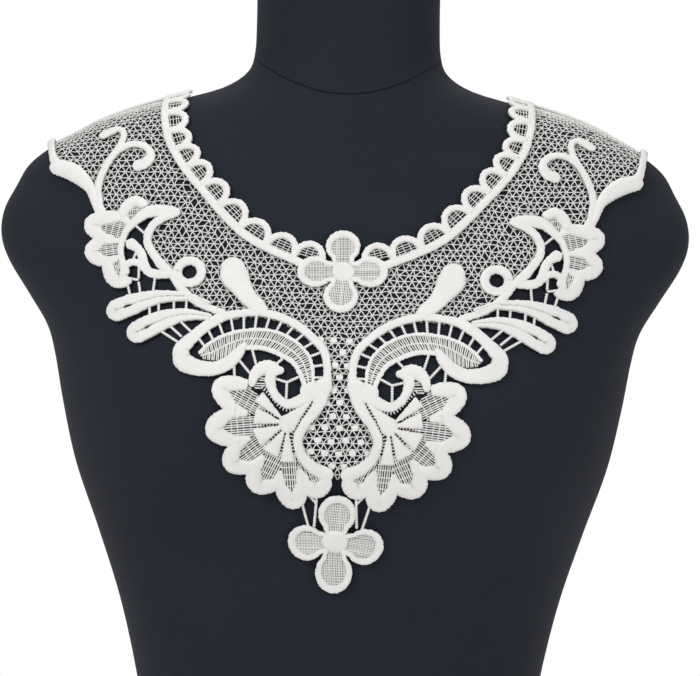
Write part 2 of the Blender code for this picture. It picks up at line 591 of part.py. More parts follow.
def neck_edging():
    """The neckline cord and its scallops, which stand towards the neck."""
    strokes, webs = [cord(NECK)], []
    spans = [(*FIRST_SCALLOP, FIRST_SCALLOP_RISE)]
    for row in SCALLOPS:
        scallop = named(SCALLOP_COLUMNS, row)
        point, along = along_curve(NECK, [scallop["distance"]])[:2]
        foot = point[0] + SCALLOP_FOOT * np.array([-along[0, 1], along[0, 0]])
        reach = along[0] * scallop["half"]
        spans.append((foot - reach, foot + reach, SCALLOP_RISE - SCALLOP_FOOT))
    for start, end, rise in spans:
        path = arch_between(start, end, rise, SCALLOP_RIM, SCALLOP_RIM, SCALLOP_CORNERS)
        strokes.append(Stroke(path, CORD_HEIGHT, EDGE_HEIGHT, False, "none"))
        webs.append(path[:, :2])
    return strokes, webs


def flower(middle_v, petals, eye):
    strokes, webs = [bulb(0, middle_v, eye)], []
    around = np.linspace(0, math.tau, PETAL_CORNERS, endpoint=False)
    for row in petals:
        petal = named(FLOWER_PETAL_COLUMNS, row)
        turn = math.radians(petal["angle"])
        out, across = np.array([math.cos(turn), math.sin(turn)]), np.array([-math.sin(turn), math.cos(turn)])
        middle = np.array([0, middle_v]) + out * petal["distance"]
        outline = (middle + np.outer(np.cos(around), out) * petal["half_length"]
                   + np.outer(np.sin(around), across) * petal["half_width"])
        path = np.column_stack([outline, np.full(len(outline), PETAL_RIM)])
        strokes.append(Stroke(path, CORD_HEIGHT, EDGE_HEIGHT, True, "none"))
        webs.append(outline)
    return strokes, webs


def mirrored(shape):
    """A motif seen from its other side, as the left half of the lace sees what stands in the middle."""
    strokes, webs = shape
    strokes = [stroke._replace(path=stroke.path * (-1, 1, 1)) for stroke in strokes]
    return strokes, [web * (-1, 1) for web in webs]


def sprig():
    strokes = [leaf(LEAF), cord(STEM_LOW), cord(STEM_HIGH)]
    return strokes + [cord(rows, span=SHOULDER_CELL) for rows in (EDGE, BACK)], []


def shell():
    strokes = [cord(SHELL_BAND, LEAF_HEIGHT), cord(CRESCENT), cord(SHELL_SCROLL), cord(SHELL_HOOK)]
    strokes += [lobe(**named(LOBE_COLUMNS, row)) for row in SHELL_LOBES]
    return strokes + bars(SHELL_BARS), []


def loop_with_tail():
    return [ring(RING_U, RING_V, RING_RADIUS, RING_HALF, RING_CORNERS), cord(TAIL)], []


def drop():
    return [leaf(DROP)], []


def bars(rows):
    return [bar(**named(BAR_COLUMNS, row)) for row in rows]


def feathers():
    return [leaf(FEATHER_HIGH), leaf(FEATHER_LOW)] + bars(FEATHER_BARS), []


def arch():
    """The arch: an outer cord, a ladder of bars, a comb band with a web, and the big lobe at its foot."""
    strokes = [cord(ARCH), cord(ARCH_CREST, EDGE_HEIGHT), cord(ARCH_HOLLOW, EDGE_HEIGHT), leaf(BIG_LOBE)]
    reaches = np.linspace(LADDER_FIRST, LADDER_LAST, LADDER_STEPS)
    outer_length = along_curve(ARCH, [0.0])[2]
    inner_length = along_curve(ARCH_CREST, [0.0])[2]
    outer = along_curve(ARCH, reaches * outer_length)[0]
    inner = along_curve(ARCH_CREST, reaches * inner_length)[0]
    for start, end in zip(outer, inner):
        along = (end - start) / np.linalg.norm(end - start)
        strokes.append(bar(*(start + along * LADDER_ROOT), *end))
    band = np.vstack([curve_points(ARCH_CREST)[:, :2], curve_points(ARCH_HOLLOW)[::-1, :2]])
    return strokes, [band]


def fan():
    """The large fan: lobes round a hub with petals, over one web, with its curled cap and its bars."""
    strokes = [leaf(rows) for rows in (FAN_CURL, FAN_KNOT, CAP, S_CORD, HUB)]
    outline = []
    for start, end, rise in zip(FAN_NOTCHES[:-1], FAN_NOTCHES[1:], FAN_RISES):
        path = arch_between(start, end, rise, FAN_NOTCH_HALF, FAN_BULGE_HALF, FAN_LOBE_CORNERS)
        strokes.append(Stroke(path, LEAF_HEIGHT, EDGE_HEIGHT, False, "none"))
        outline.extend(path[:-1, :2])
    for notch in np.array(FAN_NOTCHES[1:-1]):
        inward = np.array([HUB_U, HUB_V]) - notch
        tip = notch + inward / np.linalg.norm(inward) * FAN_WEDGE_REACH
        path = np.array([(*notch, FAN_WEDGE_START), (*tip, FAN_WEDGE_END)])
        strokes.append(Stroke(path, CORD_HEIGHT, EDGE_HEIGHT, False, "none"))
    for row in FAN_PETALS:
        petal = named(FAN_PETAL_COLUMNS, row)
        turn = math.radians(petal["angle"])
        out = np.array([math.cos(turn), math.sin(turn)])
        first = np.array([HUB_U, HUB_V]) + out * petal["start"]
        last = np.array([HUB_U, HUB_V]) + out * petal["end"]
        path = np.array([(*first, petal["half_width"] * FAN_PETAL_ROOT), (*last, petal["half_width"])])
        strokes.append(Stroke(path, LEAF_HEIGHT, EDGE_HEIGHT, False, "last"))
    inner = curve_points(S_CORD)[::-1, :2]
    outline = np.vstack([outline, inner, FAN_WEB_CORNERS])
    return strokes + bars(FAN_BARS), [outline]


def net_outline():
    """The net's edge, which follows the middle of the cords around it, for one side."""
    curves = (NECK, BACK[::-1][1:], EDGE[::-1][1:], LEAF[::-1][1:], NET_UNDER_LEAF, SHELL_BAND[1::-1],
              CRESCENT[1:], TAIL, ARCH[4:], S_CORD)
    points = [NET_TOP]
    for rows in curves:
        if len(rows) > 2:
            rows = curve_points(rows, max_length=SHOULDER_CELL)
        points += [row[:2] for row in rows]
    return np.array(points + [NET_FOOT], float)


def net_ground():
    half = net_outline()
    mirrored = half[::-1] * np.array([-1, 1])
    outline = np.vstack([half[1:-1], half[-1:], mirrored[1:-1], half[:1]])
    chest = filling_points(outline, NET_CELL, outline, NET_CELL * NET_MARGIN)
    shoulder = filling_points(outline, SHOULDER_CELL, outline, SHOULDER_CELL * NET_MARGIN)
    extra = np.vstack([chest[chest[:, 1] < SHOULDER_V], shoulder[shoulder[:, 1] > SHOULDER_V]])
    mesh = flat_mesh(*cut_out([turned_ccw(outline)], [], extra))
    return raised_solid("net_ground", mesh, 1, NET_LIFT, lambda points: np.full(len(points), NET_WALL))


def dress_form():
    """The form's body: a ring of points at each section, joined into one closed skin."""
    mesh = bmesh.new()
    rings = []
    for z in sorted([row[0] for row in FORM_SECTIONS] + list(BUST_RINGS)):
        corners = []
        for k in range(FORM_SIDES):
            angle = math.tau * k / FORM_SIDES
            x = SURFACE.size(z, "half_width") * math.cos(angle)
            y = SURFACE.depth(x, z, math.sin(angle) < 0)
            corners.append(mesh.verts.new((x * MM, y * MM, z * MM)))
        rings.append(corners)
    for low, high in zip(rings[:-1], rings[1:]):
        for k in range(FORM_SIDES):
            mesh.faces.new((low[k], low[(k + 1) % FORM_SIDES], high[(k + 1) % FORM_SIDES], high[k]))
    mesh.faces.new(rings[0][::-1])
    mesh.faces.new(rings[-1])
    return add_object("form_torso", mesh)


def material(name, colour, roughness):
    made = bpy.data.materials.new(name)
    made.use_nodes = True
    shader = made.node_tree.nodes["Principled BSDF"]
    shader.inputs["Base Color"].default_value = colour
    shader.inputs["Roughness"].default_value = roughness
    shader.inputs["Metallic"].default_value = 0.0
    return made


def build_lace():
    """Every piece of the lace: each motif gives way to the ones that were made before it."""
    pieces = [net_ground()]
    top = flower(TOP_V, TOP_PETALS, TOP_EYE)
    pendant = flower(PENDANT_V, PENDANT_PETALS, PENDANT_EYE)
    pieces.append(lace_piece("flower_top", 1, *top))
    pieces.append(lace_piece("flower_pendant", 1, *pendant))
    motifs = (
        ("neck_edging", neck_edging(), ["top"]),
        ("shell", shell(), []),
        ("loop", loop_with_tail(), ["shell"]),
        ("arch", arch(), ["loop"]),
        ("drop", drop(), ["loop", "arch"]),
        ("sprig", sprig(), ["neck_edging", "shell"]),
        ("feathers", feathers(), ["shell", "loop", "arch"]),
        ("fan", fan(), ["arch", "pendant"]),
    )
    shapes = {name: shape for name, shape, neighbours in motifs}
    for side, side_name in ((-1, "left"), (1, "right")):
        shapes["top"], shapes["pendant"] = (top, pendant) if side > 0 else (mirrored(top), mirrored(pendant))
        for name, shape, neighbours in motifs:
            around = [shapes[neighbour] for neighbour in neighbours]
            pieces.append(lace_piece(f"{name}_{side_name}", side, *shape, around))
    return pieces


def centre_on_base(objects):
    """Moves every mesh so that the origin lies under the middle of the whole object's width and depth."""
    corners = np.vstack([[v.co[:] for v in made.data.vertices] for made in objects])
    middle = (corners.min(axis=0) + corners.max(axis=0)) / 2
    for made in objects:
        for vertex in made.data.vertices:
            vertex.co -= Vector((middle[0], middle[1], 0))


for old in list(bpy.data.objects):
    bpy.data.objects.remove(old, do_unlink=True)
PARTS = bpy.data.collections.new("lace_neckline_applique")
bpy.context.scene.collection.children.link(PARTS)
SURFACE = FormSurface()
lace = build_lace()
form = dress_form()
lace_material = material("lace_thread", LACE_COLOUR, LACE_ROUGHNESS)
for piece in lace:
    piece.data.materials.append(lace_material)
lace[0].data.materials.clear()
lace[0].data.materials.append(material("lace_net", NET_COLOUR, CLOTH_ROUGHNESS))
form.data.materials.append(material("form_cloth", FORM_COLOUR, CLOTH_ROUGHNESS))
centre_on_base(lace + [form])
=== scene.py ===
import math

import bpy
import numpy as np
from mathutils import Matrix, Vector


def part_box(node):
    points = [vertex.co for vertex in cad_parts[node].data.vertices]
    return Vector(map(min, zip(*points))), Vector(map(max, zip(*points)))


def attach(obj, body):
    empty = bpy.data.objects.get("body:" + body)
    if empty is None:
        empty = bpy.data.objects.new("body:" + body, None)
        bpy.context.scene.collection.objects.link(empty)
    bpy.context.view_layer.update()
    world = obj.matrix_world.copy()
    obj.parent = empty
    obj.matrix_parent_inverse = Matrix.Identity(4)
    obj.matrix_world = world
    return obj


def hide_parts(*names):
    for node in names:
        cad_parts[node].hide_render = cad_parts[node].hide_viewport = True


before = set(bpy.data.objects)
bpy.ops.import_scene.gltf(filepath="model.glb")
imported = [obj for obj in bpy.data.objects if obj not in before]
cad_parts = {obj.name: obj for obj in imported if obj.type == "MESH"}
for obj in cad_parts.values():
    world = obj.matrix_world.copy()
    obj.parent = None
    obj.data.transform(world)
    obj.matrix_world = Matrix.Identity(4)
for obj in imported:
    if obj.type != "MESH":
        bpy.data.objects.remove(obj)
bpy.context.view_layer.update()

MM = 0.001
RANDOM = np.random.default_rng(7)

# The form: level sections, smoothed between the rows
SECTION_COLUMNS = ("height", "half_width", "front", "back", "lean", "fullness")
FORM_SECTIONS = (
    (0, 152, 106, 116, 2, 2.20),
    (30, 148, 104, 112, 2, 2.20),
    (70, 134, 99, 101, 1, 2.15),
    (105, 122, 96, 92, 0, 2.10),
    (135, 119, 96, 88, 0, 2.10),
    (160, 122.5, 97, 88, 0, 2.10),
    (200, 132, 101, 92, 0, 2.15),
    (240, 145, 108, 98, 0, 2.20),
    (280, 159, 115, 103, 0, 2.25),
    (315, 167, 117, 106, 0, 2.30),
    (345, 172.5, 114, 107, 0, 2.30),
    (362, 177.5, 110, 106, 0, 2.25),
    (380, 188.5, 105, 104, 1, 2.15),
    (400, 201, 99, 101, 1, 2.05),
    (415, 206, 94, 97, 2, 2.00),
    (430, 204.5, 88.5, 93, 2, 1.95),
    (445, 197, 83, 88, 2, 1.92),
    (457, 190, 78.5, 83, 2, 1.90),
    (467, 178, 74, 78, 2, 1.90),
    (475, 163, 70.5, 74, 1, 1.90),
    (483, 147, 67, 70, 0, 1.92),
    (491, 124, 64, 66, -1, 1.95),
    (498, 98, 61, 62, -2, 2.00),
    (505, 74, 58.5, 58.5, -4, 2.00),
    (514, 60, 56, 56, -6, 2.00),
    (525, 55.5, 54.5, 55, -8, 2.00),
    (545, 54.5, 53.5, 54.5, -11, 2.00),
    (575, 54.5, 53.5, 54.5, -15, 2.00),
)
BUST_X, BUST_Z, BUST_RISE = 82.0, 318.0, 20.0
BUST_SPREAD_X, BUST_SPREAD_Z = 56.0, 42.0
SHOULDER_Z = 415.0
NECK_HALF_WIDTH = 54.6
NECK_TOP_Z = 575.0
SECTION_STEPS = 40
COLUMN_FRONT_Z, COLUMN_BACK_Z = 150.0, 350.0
COLUMN_FRONT_COUNT, COLUMN_BACK_COUNT = 260, 200
FORM_SIDES, FORM_RINGS = 220, 230

# How the pattern lies on the form
DRAPE_Z = 425.0
DRAPE_STEP = 2.0
DRAPE_X_END = 200.0
DRAPE_LOW, DRAPE_HIGH = -290.0, 180.0
FLOWER_X, FLOWER_S = -0.6, -28.1
LACE_TILT = math.radians(0.8)

# Layers of the lace, measured off the form
NET_LIFT = 0.9
MOTIF_LIFT = 2.3
EDGE_HEIGHT = 1.1
CORD_HEIGHT = 2.0
LEAF_HEIGHT = 2.5
BAR_HALF, BAR_HEIGHT, BAR_KNOBS, BAR_CORNERS = 0.75, 0.55, 0.3, 6
FILL_LIFT = 2.5

# Stitches: how far apart the rings of a stroke are, and how its edge is serrated
RING_STEP = 0.6
EDGE_DEPTH = 0.28
DOME_CORNERS, OVAL_CORNERS, LOBE_CORNERS = 9, 49, 25
SIDE_HEIGHT = 0.93
RING_OVERLAP = 0.15
END_TURNS = (12, 26, 40, 54, 68, 80, 87)
CORD_CORNER, CORD_FOOT = 0.94, 0.1

# Fine threads: how far apart their rings are, how much they differ, and the knobs of a worked bar
THREAD_STEP, KNOB_STEP, THREAD_SPANS = 1.1, 0.4, 4
THREAD_VARIES = (0.85, 1.15)
THREAD_UNEVEN, LEVEL_UNEVEN = 0.06, 0.12
THREAD_SHORTEST = 1.0
KNOB_PITCH = 1.5

# The columns of the tables below. A stroke's rows run along its middle line, as u, v and half width
FAN_PETAL_COLUMNS = ("angle", "start", "end", "half_width")
FLOWER_PETAL_COLUMNS = ("angle", "distance", "half_length", "half_width")
SCALLOP_COLUMNS = ("distance", "half")
CREASE_COLUMNS = ("x", "z", "half_length", "half_width", "rise", "depth")
GRID_COLUMNS = ("pitch", "half", "shift", "cross_pitch", "cross_half", "cross_shift", "cross_lift")
LIGHT_COLUMNS = ("name", "place", "size", "power")

# The woven grids: threads one way, and sparser ones across them, a little higher
SCALLOP_GRID = (1.7, 0.25, 0.9, 3.4, 0.25, 0.7, 0.3)
PETAL_GRID = (0.98, 0.36, 0.5, 1.6, 0.28, 0.5, 0.25)
SHELL_GRID = (1.2, 0.36, 0.5, 3.5, 0.28, 0.5, 0.2)
FAN_GRID = (1.3, 0.38, 0.5, 3.7, 0.3, 0.5, 0.0)

# The neckline cord from beside the top flower, over the shoulder and down to the back edge
NECK = ((23.3, 1.1, 2.4), (30.5, 4.3, 2.5), (43, 10, 2.6), (56, 17.6, 2.6), (68.2, 29.1, 2.6),
        (80.8, 43.7, 2.5), (93.4, 59.1, 2.4), (102, 73.5, 2.3), (105.6, 86, 2.2), (107, 99, 2.1),
        (107, 113, 2), (106.8, 131, 2), (106, 150, 2))
# Its scallops: how far along the cord each one's middle stands, and half its width. The first one, beside
# the top flower, stands on a line of its own
SCALLOPS = ((15.5, 8.6), (34.1, 8.9), (53, 8.4), (70.2, 7.8), (85.6, 7.1), (99.8, 6.6), (113.3, 6.5),
            (127, 6.6), (141, 6.6), (155, 6.6), (169, 6.6))
SCALLOP_RISE, SCALLOP_RIM, SCALLOP_FOOT = 12.0, 2.0, 1.4
FIRST_SCALLOP = ((12.6, 2.2), (28, 6.8))
FIRST_SCALLOP_RISE = 9.5
NECK_SAMPLE = 0.25

# The outer edge cord from the shoulder leaf's tip over the shoulder, and the plain back edge
EDGE = ((169, 60, 4), (171.5, 64, 2.6), (173.2, 70, 2), (174.7, 80, 2), (176, 96, 2), (176.5, 113, 2))
BACK = ((176.5, 113, 2), (158, 125, 2), (134, 138, 2), (106, 150, 2))

# The shoulder sprig
LEAF = ((145, 34, 1.8), (148, 43.5, 3), (154, 51, 4.8), (161, 56, 5.6), (168.5, 58.5, 5))
LEAF_FOOT = ((144.2, 36.5, 3), (142.6, 32, 3.2), (140.5, 27.5, 3.6))
STEM_LOW = ((142.5, 35, 2), (143.8, 45, 2), (142, 54.5, 2), (136.5, 66, 2), (130, 72.8, 2),
            (123.5, 74.6, 2.1), (117.2, 72.8, 2.3), (113.8, 67.5, 2.6), (116.5, 62.3, 3.2), (121, 60.2, 3.3))
STEM_HIGH = ((134.5, 69.5, 1.7), (131.2, 77, 1.8), (130.6, 83, 1.9), (133.5, 86.5, 2.2), (138, 85.5, 2.8),
             (143, 82, 2.6))

# The small shell: its cords and bars
CRESCENT = ((98, 31.5, 3), (104.5, 28, 2.6), (109.6, 23.9, 2.4), (113, 17.5, 2.4), (112.8, 11, 2.4),
            (109.3, 4.6, 2.5), (104.5, -1.5, 2.8), (99, -7, 2.6))
SHELL_SCROLL = ((122.3, 10.6, 3.5), (118.7, 8, 2.6), (116, 3.6, 2.7), (114.4, -1.6, 2.7),
                (111.6, -5.8, 2.7), (107.4, -7.4, 2.7), (101, -7.6, 2.6))
SHELL_HOOK = ((126.3, -8.5, 2), (126, -4, 2.1), (122.8, -0.6, 2.1), (118.5, -0.6, 2.1), (115.2, -3.4, 2.1))
SHELL_BARS = ((117.6, -2.5, 117.3, -10), (125, -9.3, 117.3, -10.8), (123, 24.5, 113.5, 16),
              (130.5, 14.3, 123.5, 11.4), (119.3, 7, 121.5, 0))
SHELL_INNER = ((101, 32, 3.6), (112, 31.5, 3.8), (119, 27, 2.8), (126, 18.5, 1.9), (128.5, 9, 1.8),
               (127.5, 1, 1.9), (125, -5.5, 2.3))
# Its rim: u and v where two lobes meet, then where the wedge between them ends inside, and the lobes' tips
SHELL_NOTCHES = ((115.6, 34.2, 114.5, 31), (129.2, 27.5, 123.5, 23), (138.3, 13.8, 129, 12),
                 (136.3, 0, 129, 2.5), (122.5, -9.8, 125, -5))
SHELL_TIPS = ((123, 36.8, 3.6), (145.8, 23.2, 4.8), (145.5, 5.4, 4.2), (131.1, -11, 3.8))
SHELL_FOOT_HALF, SHELL_WEDGE_START, SHELL_WEDGE_END = 2.5, 3.4, 1.2
# How pointed the lobes of the shell and the fan are
LOBE_POINT = 1.8

# The ring with its tail, and the drop beside it
RING_U, RING_V, RING_RADIUS, RING_HALF = 88, -6, 6.9, 2.7
TAIL = ((97, -9.5, 2.2), (92, -16.5, 2.4), (86, -22.5, 2.4), (79, -27.3, 2.4), (73.5, -29.8, 2.3),
        (68.5, -31.6, 2.2))
DROP = ((62.9, -3.5, 7.2), (62.3, -6.5, 8.2), (60.6, -10.5, 7.8), (57.6, -15.5, 6.2), (53.6, -21.3, 5.2),
        (49.5, -25.5, 5), (46.5, -28.8, 4.4))

# The two feather leaves, from their narrow roots to their tips, and the bars between them and the shell.
# Each leaf is stitched in two halves, with a slit between them behind its tip
SLIT_HALF, SLIT_BACK, SLIT_REACH = 0.7, 5.5, 2.6
LEAF_TURN, LEAF_CORNERS = 75, 11
FEATHER_HIGH = ((76, -26.5, 1.8), (86, -22.2, 2.4), (95, -21.4, 3.2), (103.5, -21.5, 4.1),
                (112, -23.2, 5.3), (120.5, -26, 6.7), (128, -28.6, 6.7))
FEATHER_LOW = ((75, -35, 2), (83.5, -33.7, 3.1), (91.5, -33.6, 4.3), (99.5, -35.6, 5.7), (108, -39, 6.8),
               (115.3, -42.5, 6.8))
FEATHER_BARS = ((110.2, -27, 109.5, -34), (105, -24, 104.5, -32.5), (96.2, -23, 95.9, -31),
                (89, -22.5, 88.9, -31.5), (124.3, -10.8, 121.5, -21), (117.2, -12.1, 115.7, -20),
                (107.8, -8.8, 108.6, -19), (92.5, -36.5, 85.5, -43.8), (98, -39.5, 90.5, -47),
                (102.5, -43, 91.5, -51))

# The arched scroll
ARCH = ((86.3, -50, 3.8), (81, -44.5, 3.4), (76.5, -40.3, 3.3), (71.5, -36.8, 3.2), (65.5, -33.8, 2.8),
        (58, -32.1, 2.4), (48.5, -30.9, 2.5), (41, -31.7, 2.6), (34, -33.7, 2.6), (27, -37, 2.5),
        (20, -41.9, 2.5), (14, -47.4, 2.4), (9.8, -52.6, 2.5), (7.8, -59, 2.3), (7.2, -66, 2.4),
        (7.4, -71.5, 3.2))
ARCH_CREST = ((79.5, -57, 1), (75.3, -52.3, 1), (67, -46.8, 1), (57.5, -43.4, 1), (46, -42, 1),
              (36, -43.3, 1), (26, -48.2, 1), (18.8, -55.5, 1), (15.8, -63.5, 1), (15.2, -71, 1))
ARCH_HOLLOW = ((60, -56.5, 1.4), (55, -53.9, 1.4), (48, -53.3, 1.4), (41, -54, 1.4), (33.5, -57, 1.4),
               (27, -60.7, 1.4), (23.2, -66, 1.4), (20.6, -72, 1.4), (20.3, -76, 1.4))
BIG_LOBE = ((86.3, -50, 3.8), (90, -55, 4.6), (88.5, -62, 5.2), (80, -66, 4.6), (71, -66.4, 4.1),
            (63.5, -63, 4), (58.5, -57.8, 3.2), (55, -52.5, 1.8))
# The comb's foot, from under the big lobe on along the hollow, and how many of the hollow's rows it follows
COMB_FOOT = ((79, -60.5), (70, -61.5), (61.5, -57))
COMB_HOLLOW_ROWS = 7
LADDER_STEPS, LADDER_ROOT = 14, 2.0
LADDER_FIRST, LADDER_LAST = 0.05, 0.97
ARCH_SAMPLE, COMB_SAMPLE = 0.25, 0.5
CREST_HEIGHT, HOLLOW_HEIGHT, COMB_SPINE = 1.4, 1.5, 0.55
COMB_FIRST, COMB_LAST, COMB_PITCH, COMB_HALF = 0.02, 0.98, 1.35, 0.42

# The large fan
FAN_CURL = ((16, -77.5, 4.4), (20, -80.6, 3.5), (25.2, -83.3, 3), (30, -84.2, 2.5), (35, -81.4, 2.5),
            (37.9, -77.3, 2.6), (39.5, -72.5, 3.1), (39.3, -67.5, 3.4))
FAN_KNOT = ((18, -76.5, 4.6), (12.5, -75.5, 5.6), (9, -73.5, 4.8))
CAP = ((49.8, -74, 2.2), (48.4, -69.6, 3), (45.2, -66, 4), (41.3, -64.8, 4.6), (37, -65.6, 4.2),
       (34.3, -65.8, 2.4))
FAN_NOTCHES = ((52, -75.5), (60.9, -89.1), (58.3, -107.9), (47.2, -121.9), (33.4, -131.7), (19, -129.5),
               (5.5, -125.5))
FAN_RISES = (10.5, 10.4, 8.2, 7.1, 10.1, 4.2)
FAN_NOTCH_HALF, FAN_BULGE_HALF, FAN_NOTCH_SINK = 2.4, 5.0, 2.2
FAN_WEDGE_START, FAN_WEDGE_END, FAN_WEDGE_REACH = 4.2, 1.2, 9.5
S_CORD = ((10.5, -77, 5), (11.8, -83.5, 3.6), (15.2, -89, 3), (18.7, -93.7, 2.7), (22, -100, 2.8),
          (22.7, -106, 2.8), (19.6, -113.5, 3), (14, -119, 3.6), (6.5, -122.8, 4.4))
HUB = ((16.5, -82.5, 0.5), (22.4, -88, 2.5), (29, -95, 5.2))
HUB_U, HUB_V = 29, -95
# The gaps between its petals, held by short threads, and the open eye under its cap
FAN_GAPS = (((44, -76), (40, -79), (32.5, -86.5), (25.5, -86.5), (18, -82.5)), ((45.5, -87), (36.5, -90.5)),
            ((46, -97), (35.5, -95)), ((41.5, -108), (33.5, -99.5)), ((33, -113.5), (30.5, -102)),
            ((21, -116), (25.5, -107.5), (26.5, -102), (21, -92), (14.5, -82)))
DASH_PITCH, DASH_STEPS, DASH_REACH, DASH_HALF = 1.9, 12, 1.1, 0.42
CAP_EYE = ((48.5, -77.5), (47.4, -73.9), (45, -70.8), (41.5, -69.2), (40.8, -74.8), (43.1, -76.1))
CAP_EYE_PITCH, CAP_EYE_HALF = 1.5, 0.4
FAN_PETAL_ROOT, FAN_POCKET = 0.16, 0.5
FAN_PETALS = ((39, 4, 21.5, 3.7), (9.6, 4, 18.8, 4.7), (-27, 4, 19.2, 5.5),
              (-62, 4, 19.3, 4.7), (-91.5, 4, 21.2, 4.1))
FAN_BARS = ((30.1, -72.2, 37.2, -70.5), (30.1, -72.2, 23, -68.4), (30.1, -72.2, 30.3, -83),
            (58.8, -59.5, 51, -68.5), (50.6, -53.5, 47.5, -64), (32.2, -58, 36.8, -62.5),
            (60.3, -62, 59.6, -71.5), (19.3, -132.5, 11.4, -141), (11.5, -133.5, 11.4, -141),
            (11.4, -141, 12.2, -156), (20.3, -138.5, 15.3, -156.5))

# The two flowers
TOP_V = -2.9
TOP_PETALS = ((1, 15.5, 7.9, 7.2), (91.8, 15.9, 7.8, 7.7), (182, 16.2, 7.9, 7.2), (266.7, 15.5, 8, 7.7))
PENDANT_V = -164.5
PENDANT_PETALS = ((350.4, 17.4, 8.3, 8.8), (87.4, 17.5, 9.2, 8.5), (185.9, 16.6, 8, 8.7),
                  (269.4, 19.3, 10.2, 8.2))
PETAL_RIM, TOP_EYE, PENDANT_EYE, EYE_SHIFT = 2.3, 6.0, 7.1, 0.5
PETAL_TURN, PETAL_CORNERS, PETAL_LEG, PETAL_FOOT, PETAL_FOOT_HALF = 140, 41, 1.3, 4.5, 4.4

# The net's corners off the cords: at the top flower, under the shoulder leaf, over the shell, and at its foot
NET_TOP = (0, -1)
NET_UNDER_LEAF = ((138, 29), (124, 31))
NET_OVER_SHELL = ((114, 32), (101, 32))
NET_FOOT = (0, -124)
NET_TUCK = 2.6
NET_PITCH, NET_ROW = 4.2, 3.6
NET_HALF, NET_THICK, NET_KNOT = 0.30, 0.30, 0.44
NET_JITTER, NET_MISSING = 0.36, 0.02
# Its slow waves sideways and up, and its ripple: how far, and how long each radian is along u and v
NET_SWAY, NET_RIPPLE = 0.9, 0.4
SWAY_U, SWAY_V, RISE_U, RISE_SHIFT, RIPPLE_U, RIPPLE_V = 41, 23, 27, 0.5, 13, 19
NET_BOW, NET_LAYER = 0.18, 0.25
# Each thread is tried at this many places, and kept as far as they all lie on the net, if it is long enough
NET_PLACES, NET_LEAST = 9, 3
NET_OUTLINE_STEP = 3.0
MEDALLION_TOP_V, MEDALLION_FOOT_V, MEDALLION_HALF_U, MEDALLION_INSET = -46.0, -120.0, 20.0, 3.0
MEDALLION_PITCH_U, MEDALLION_PITCH_V = 8.2, 7.2
DOT_HALF, DOT_STRETCH, DOT_HEIGHT, DOT_JITTER = 1.75, 0.3, 1.2, 0.8

# The form's seam where the neck begins, and the soft creases low at its sides
SEAM_Z, SEAM_RISE, SEAM_X, SEAM_HALF = 501.0, 22.0, 57.0, 0.7
FORM_CREASES = ((-112, 150, 36, 3.2, 0.06, 0.8), (-118, 166, 30, 3.0, 0.02, 0.7),
                (-108, 183, 34, 3.4, -0.05, 0.6), (112, 146, 34, 3.2, -0.05, 0.8),
                (118, 161, 30, 3.0, 0.0, 0.7), (108, 178, 32, 3.4, 0.06, 0.6))

# The camera, from the photo: picture scale at the form's middle plane, distance, and the point it looks at
MM_PER_PIXEL = 0.6
PICTURE_WIDTH = 700
CAMERA_DISTANCE = 2600.0
CAMERA_TILT = math.radians(2.0)
CAMERA_ROLL = math.radians(0.9)
LOOK_X, LOOK_Z = 3.9, 356.2
SENSOR = 36.0

# The numbers of a colour mix node's sockets
MIX_FIRST, MIX_SECOND, MIX_RESULT = 6, 7, 2

# The surround looks white, and gives this share of that light. The lights' places are in metres
SURROUND_LIGHT = 0.45
LIGHTS = (("key", (-0.9, -1.5, 1.3), 0.9, 16), ("fill", (1.2, -1.3, 0.8), 0.9, 7),
          ("top", (0.0, 0.2, 1.6), 0.8, 5))
LIGHTS_AIM = (0.0, 0.0, 0.38)

# Colours. Each thread's second colour is painted shade in the grooves between its stitches and along its
# twist, and also the dark end of its random blotches
SATIN, SATIN_GROOVE_SHADE_AND_BLOTCH = (0.95, 0.94, 0.92, 1.0), (0.80, 0.79, 0.76, 1.0)
NET_THREAD, NET_GROOVE_SHADE_AND_BLOTCH = (0.92, 0.91, 0.89, 1.0), (0.76, 0.75, 0.72, 1.0)
KNIT_DARK, KNIT_LIGHT = (0.008, 0.010, 0.015, 1.0), (0.022, 0.027, 0.040, 1.0)
# Painted shade in the groove of the seam below the neck
KNIT_SEAM_SHADE = (0.003, 0.003, 0.005, 1.0)
FLOOR_DARK, FLOOR_LIGHT = (0.86, 0.86, 0.87, 1.0), (0.90, 0.90, 0.90, 1.0)
# Each look's roughness, sheen and gloss, and its noises' scale and detail
THREAD_LOOK, KNIT_LOOK, FLOOR_LOOK = (0.6, 0.15, 0.4), (0.75, 0.03, 0.12), (0.9, 0.0, 0.2)
SHEEN_ROUGHNESS = 0.5
BLOTCH, FIBRE, MOTTLE, GRAIN, FLOOR_NOISE = (120, 3), (1900, 2), (9, 4), (900, 2), (3, 2)
# Stitches side by side on the satin, and the twist of the net's thread: how far apart, and how deep
SATIN_PITCH, SATIN_DEPTH = 0.62, 0.16
TWIST_PITCH, TWIST_DEPTH = 0.8, 0.12
# The stitches' slant and wobble; the share of the thread's colour that is painted shade in the stitch
# grooves, the rest being random blotches; the fibre's rise; the bump's strength
STITCH_SLANT, STITCH_WOBBLE, STITCH_SHADE_SHARE, FIBRE_RISE, STITCH_STRENGTH = 0.35, 0.9, 0.55, 0.35, 0.8
# The knit's ribs and the seam's groove, as shares of the grain's height
RIB_PITCH, RIB_RISE, SEAM_SINK, KNIT_STRENGTH, KNIT_DEPTH = 1.5, 0.10, -3.0, 0.5, 0.35
# The floor, in metres, and the turn that counts as a sharp edge on the form
FLOOR_CORNERS, FLOOR_RADIUS, FLOOR_DROP = 96, 1.0, 0.0005
SHARP_TURN = math.radians(50)


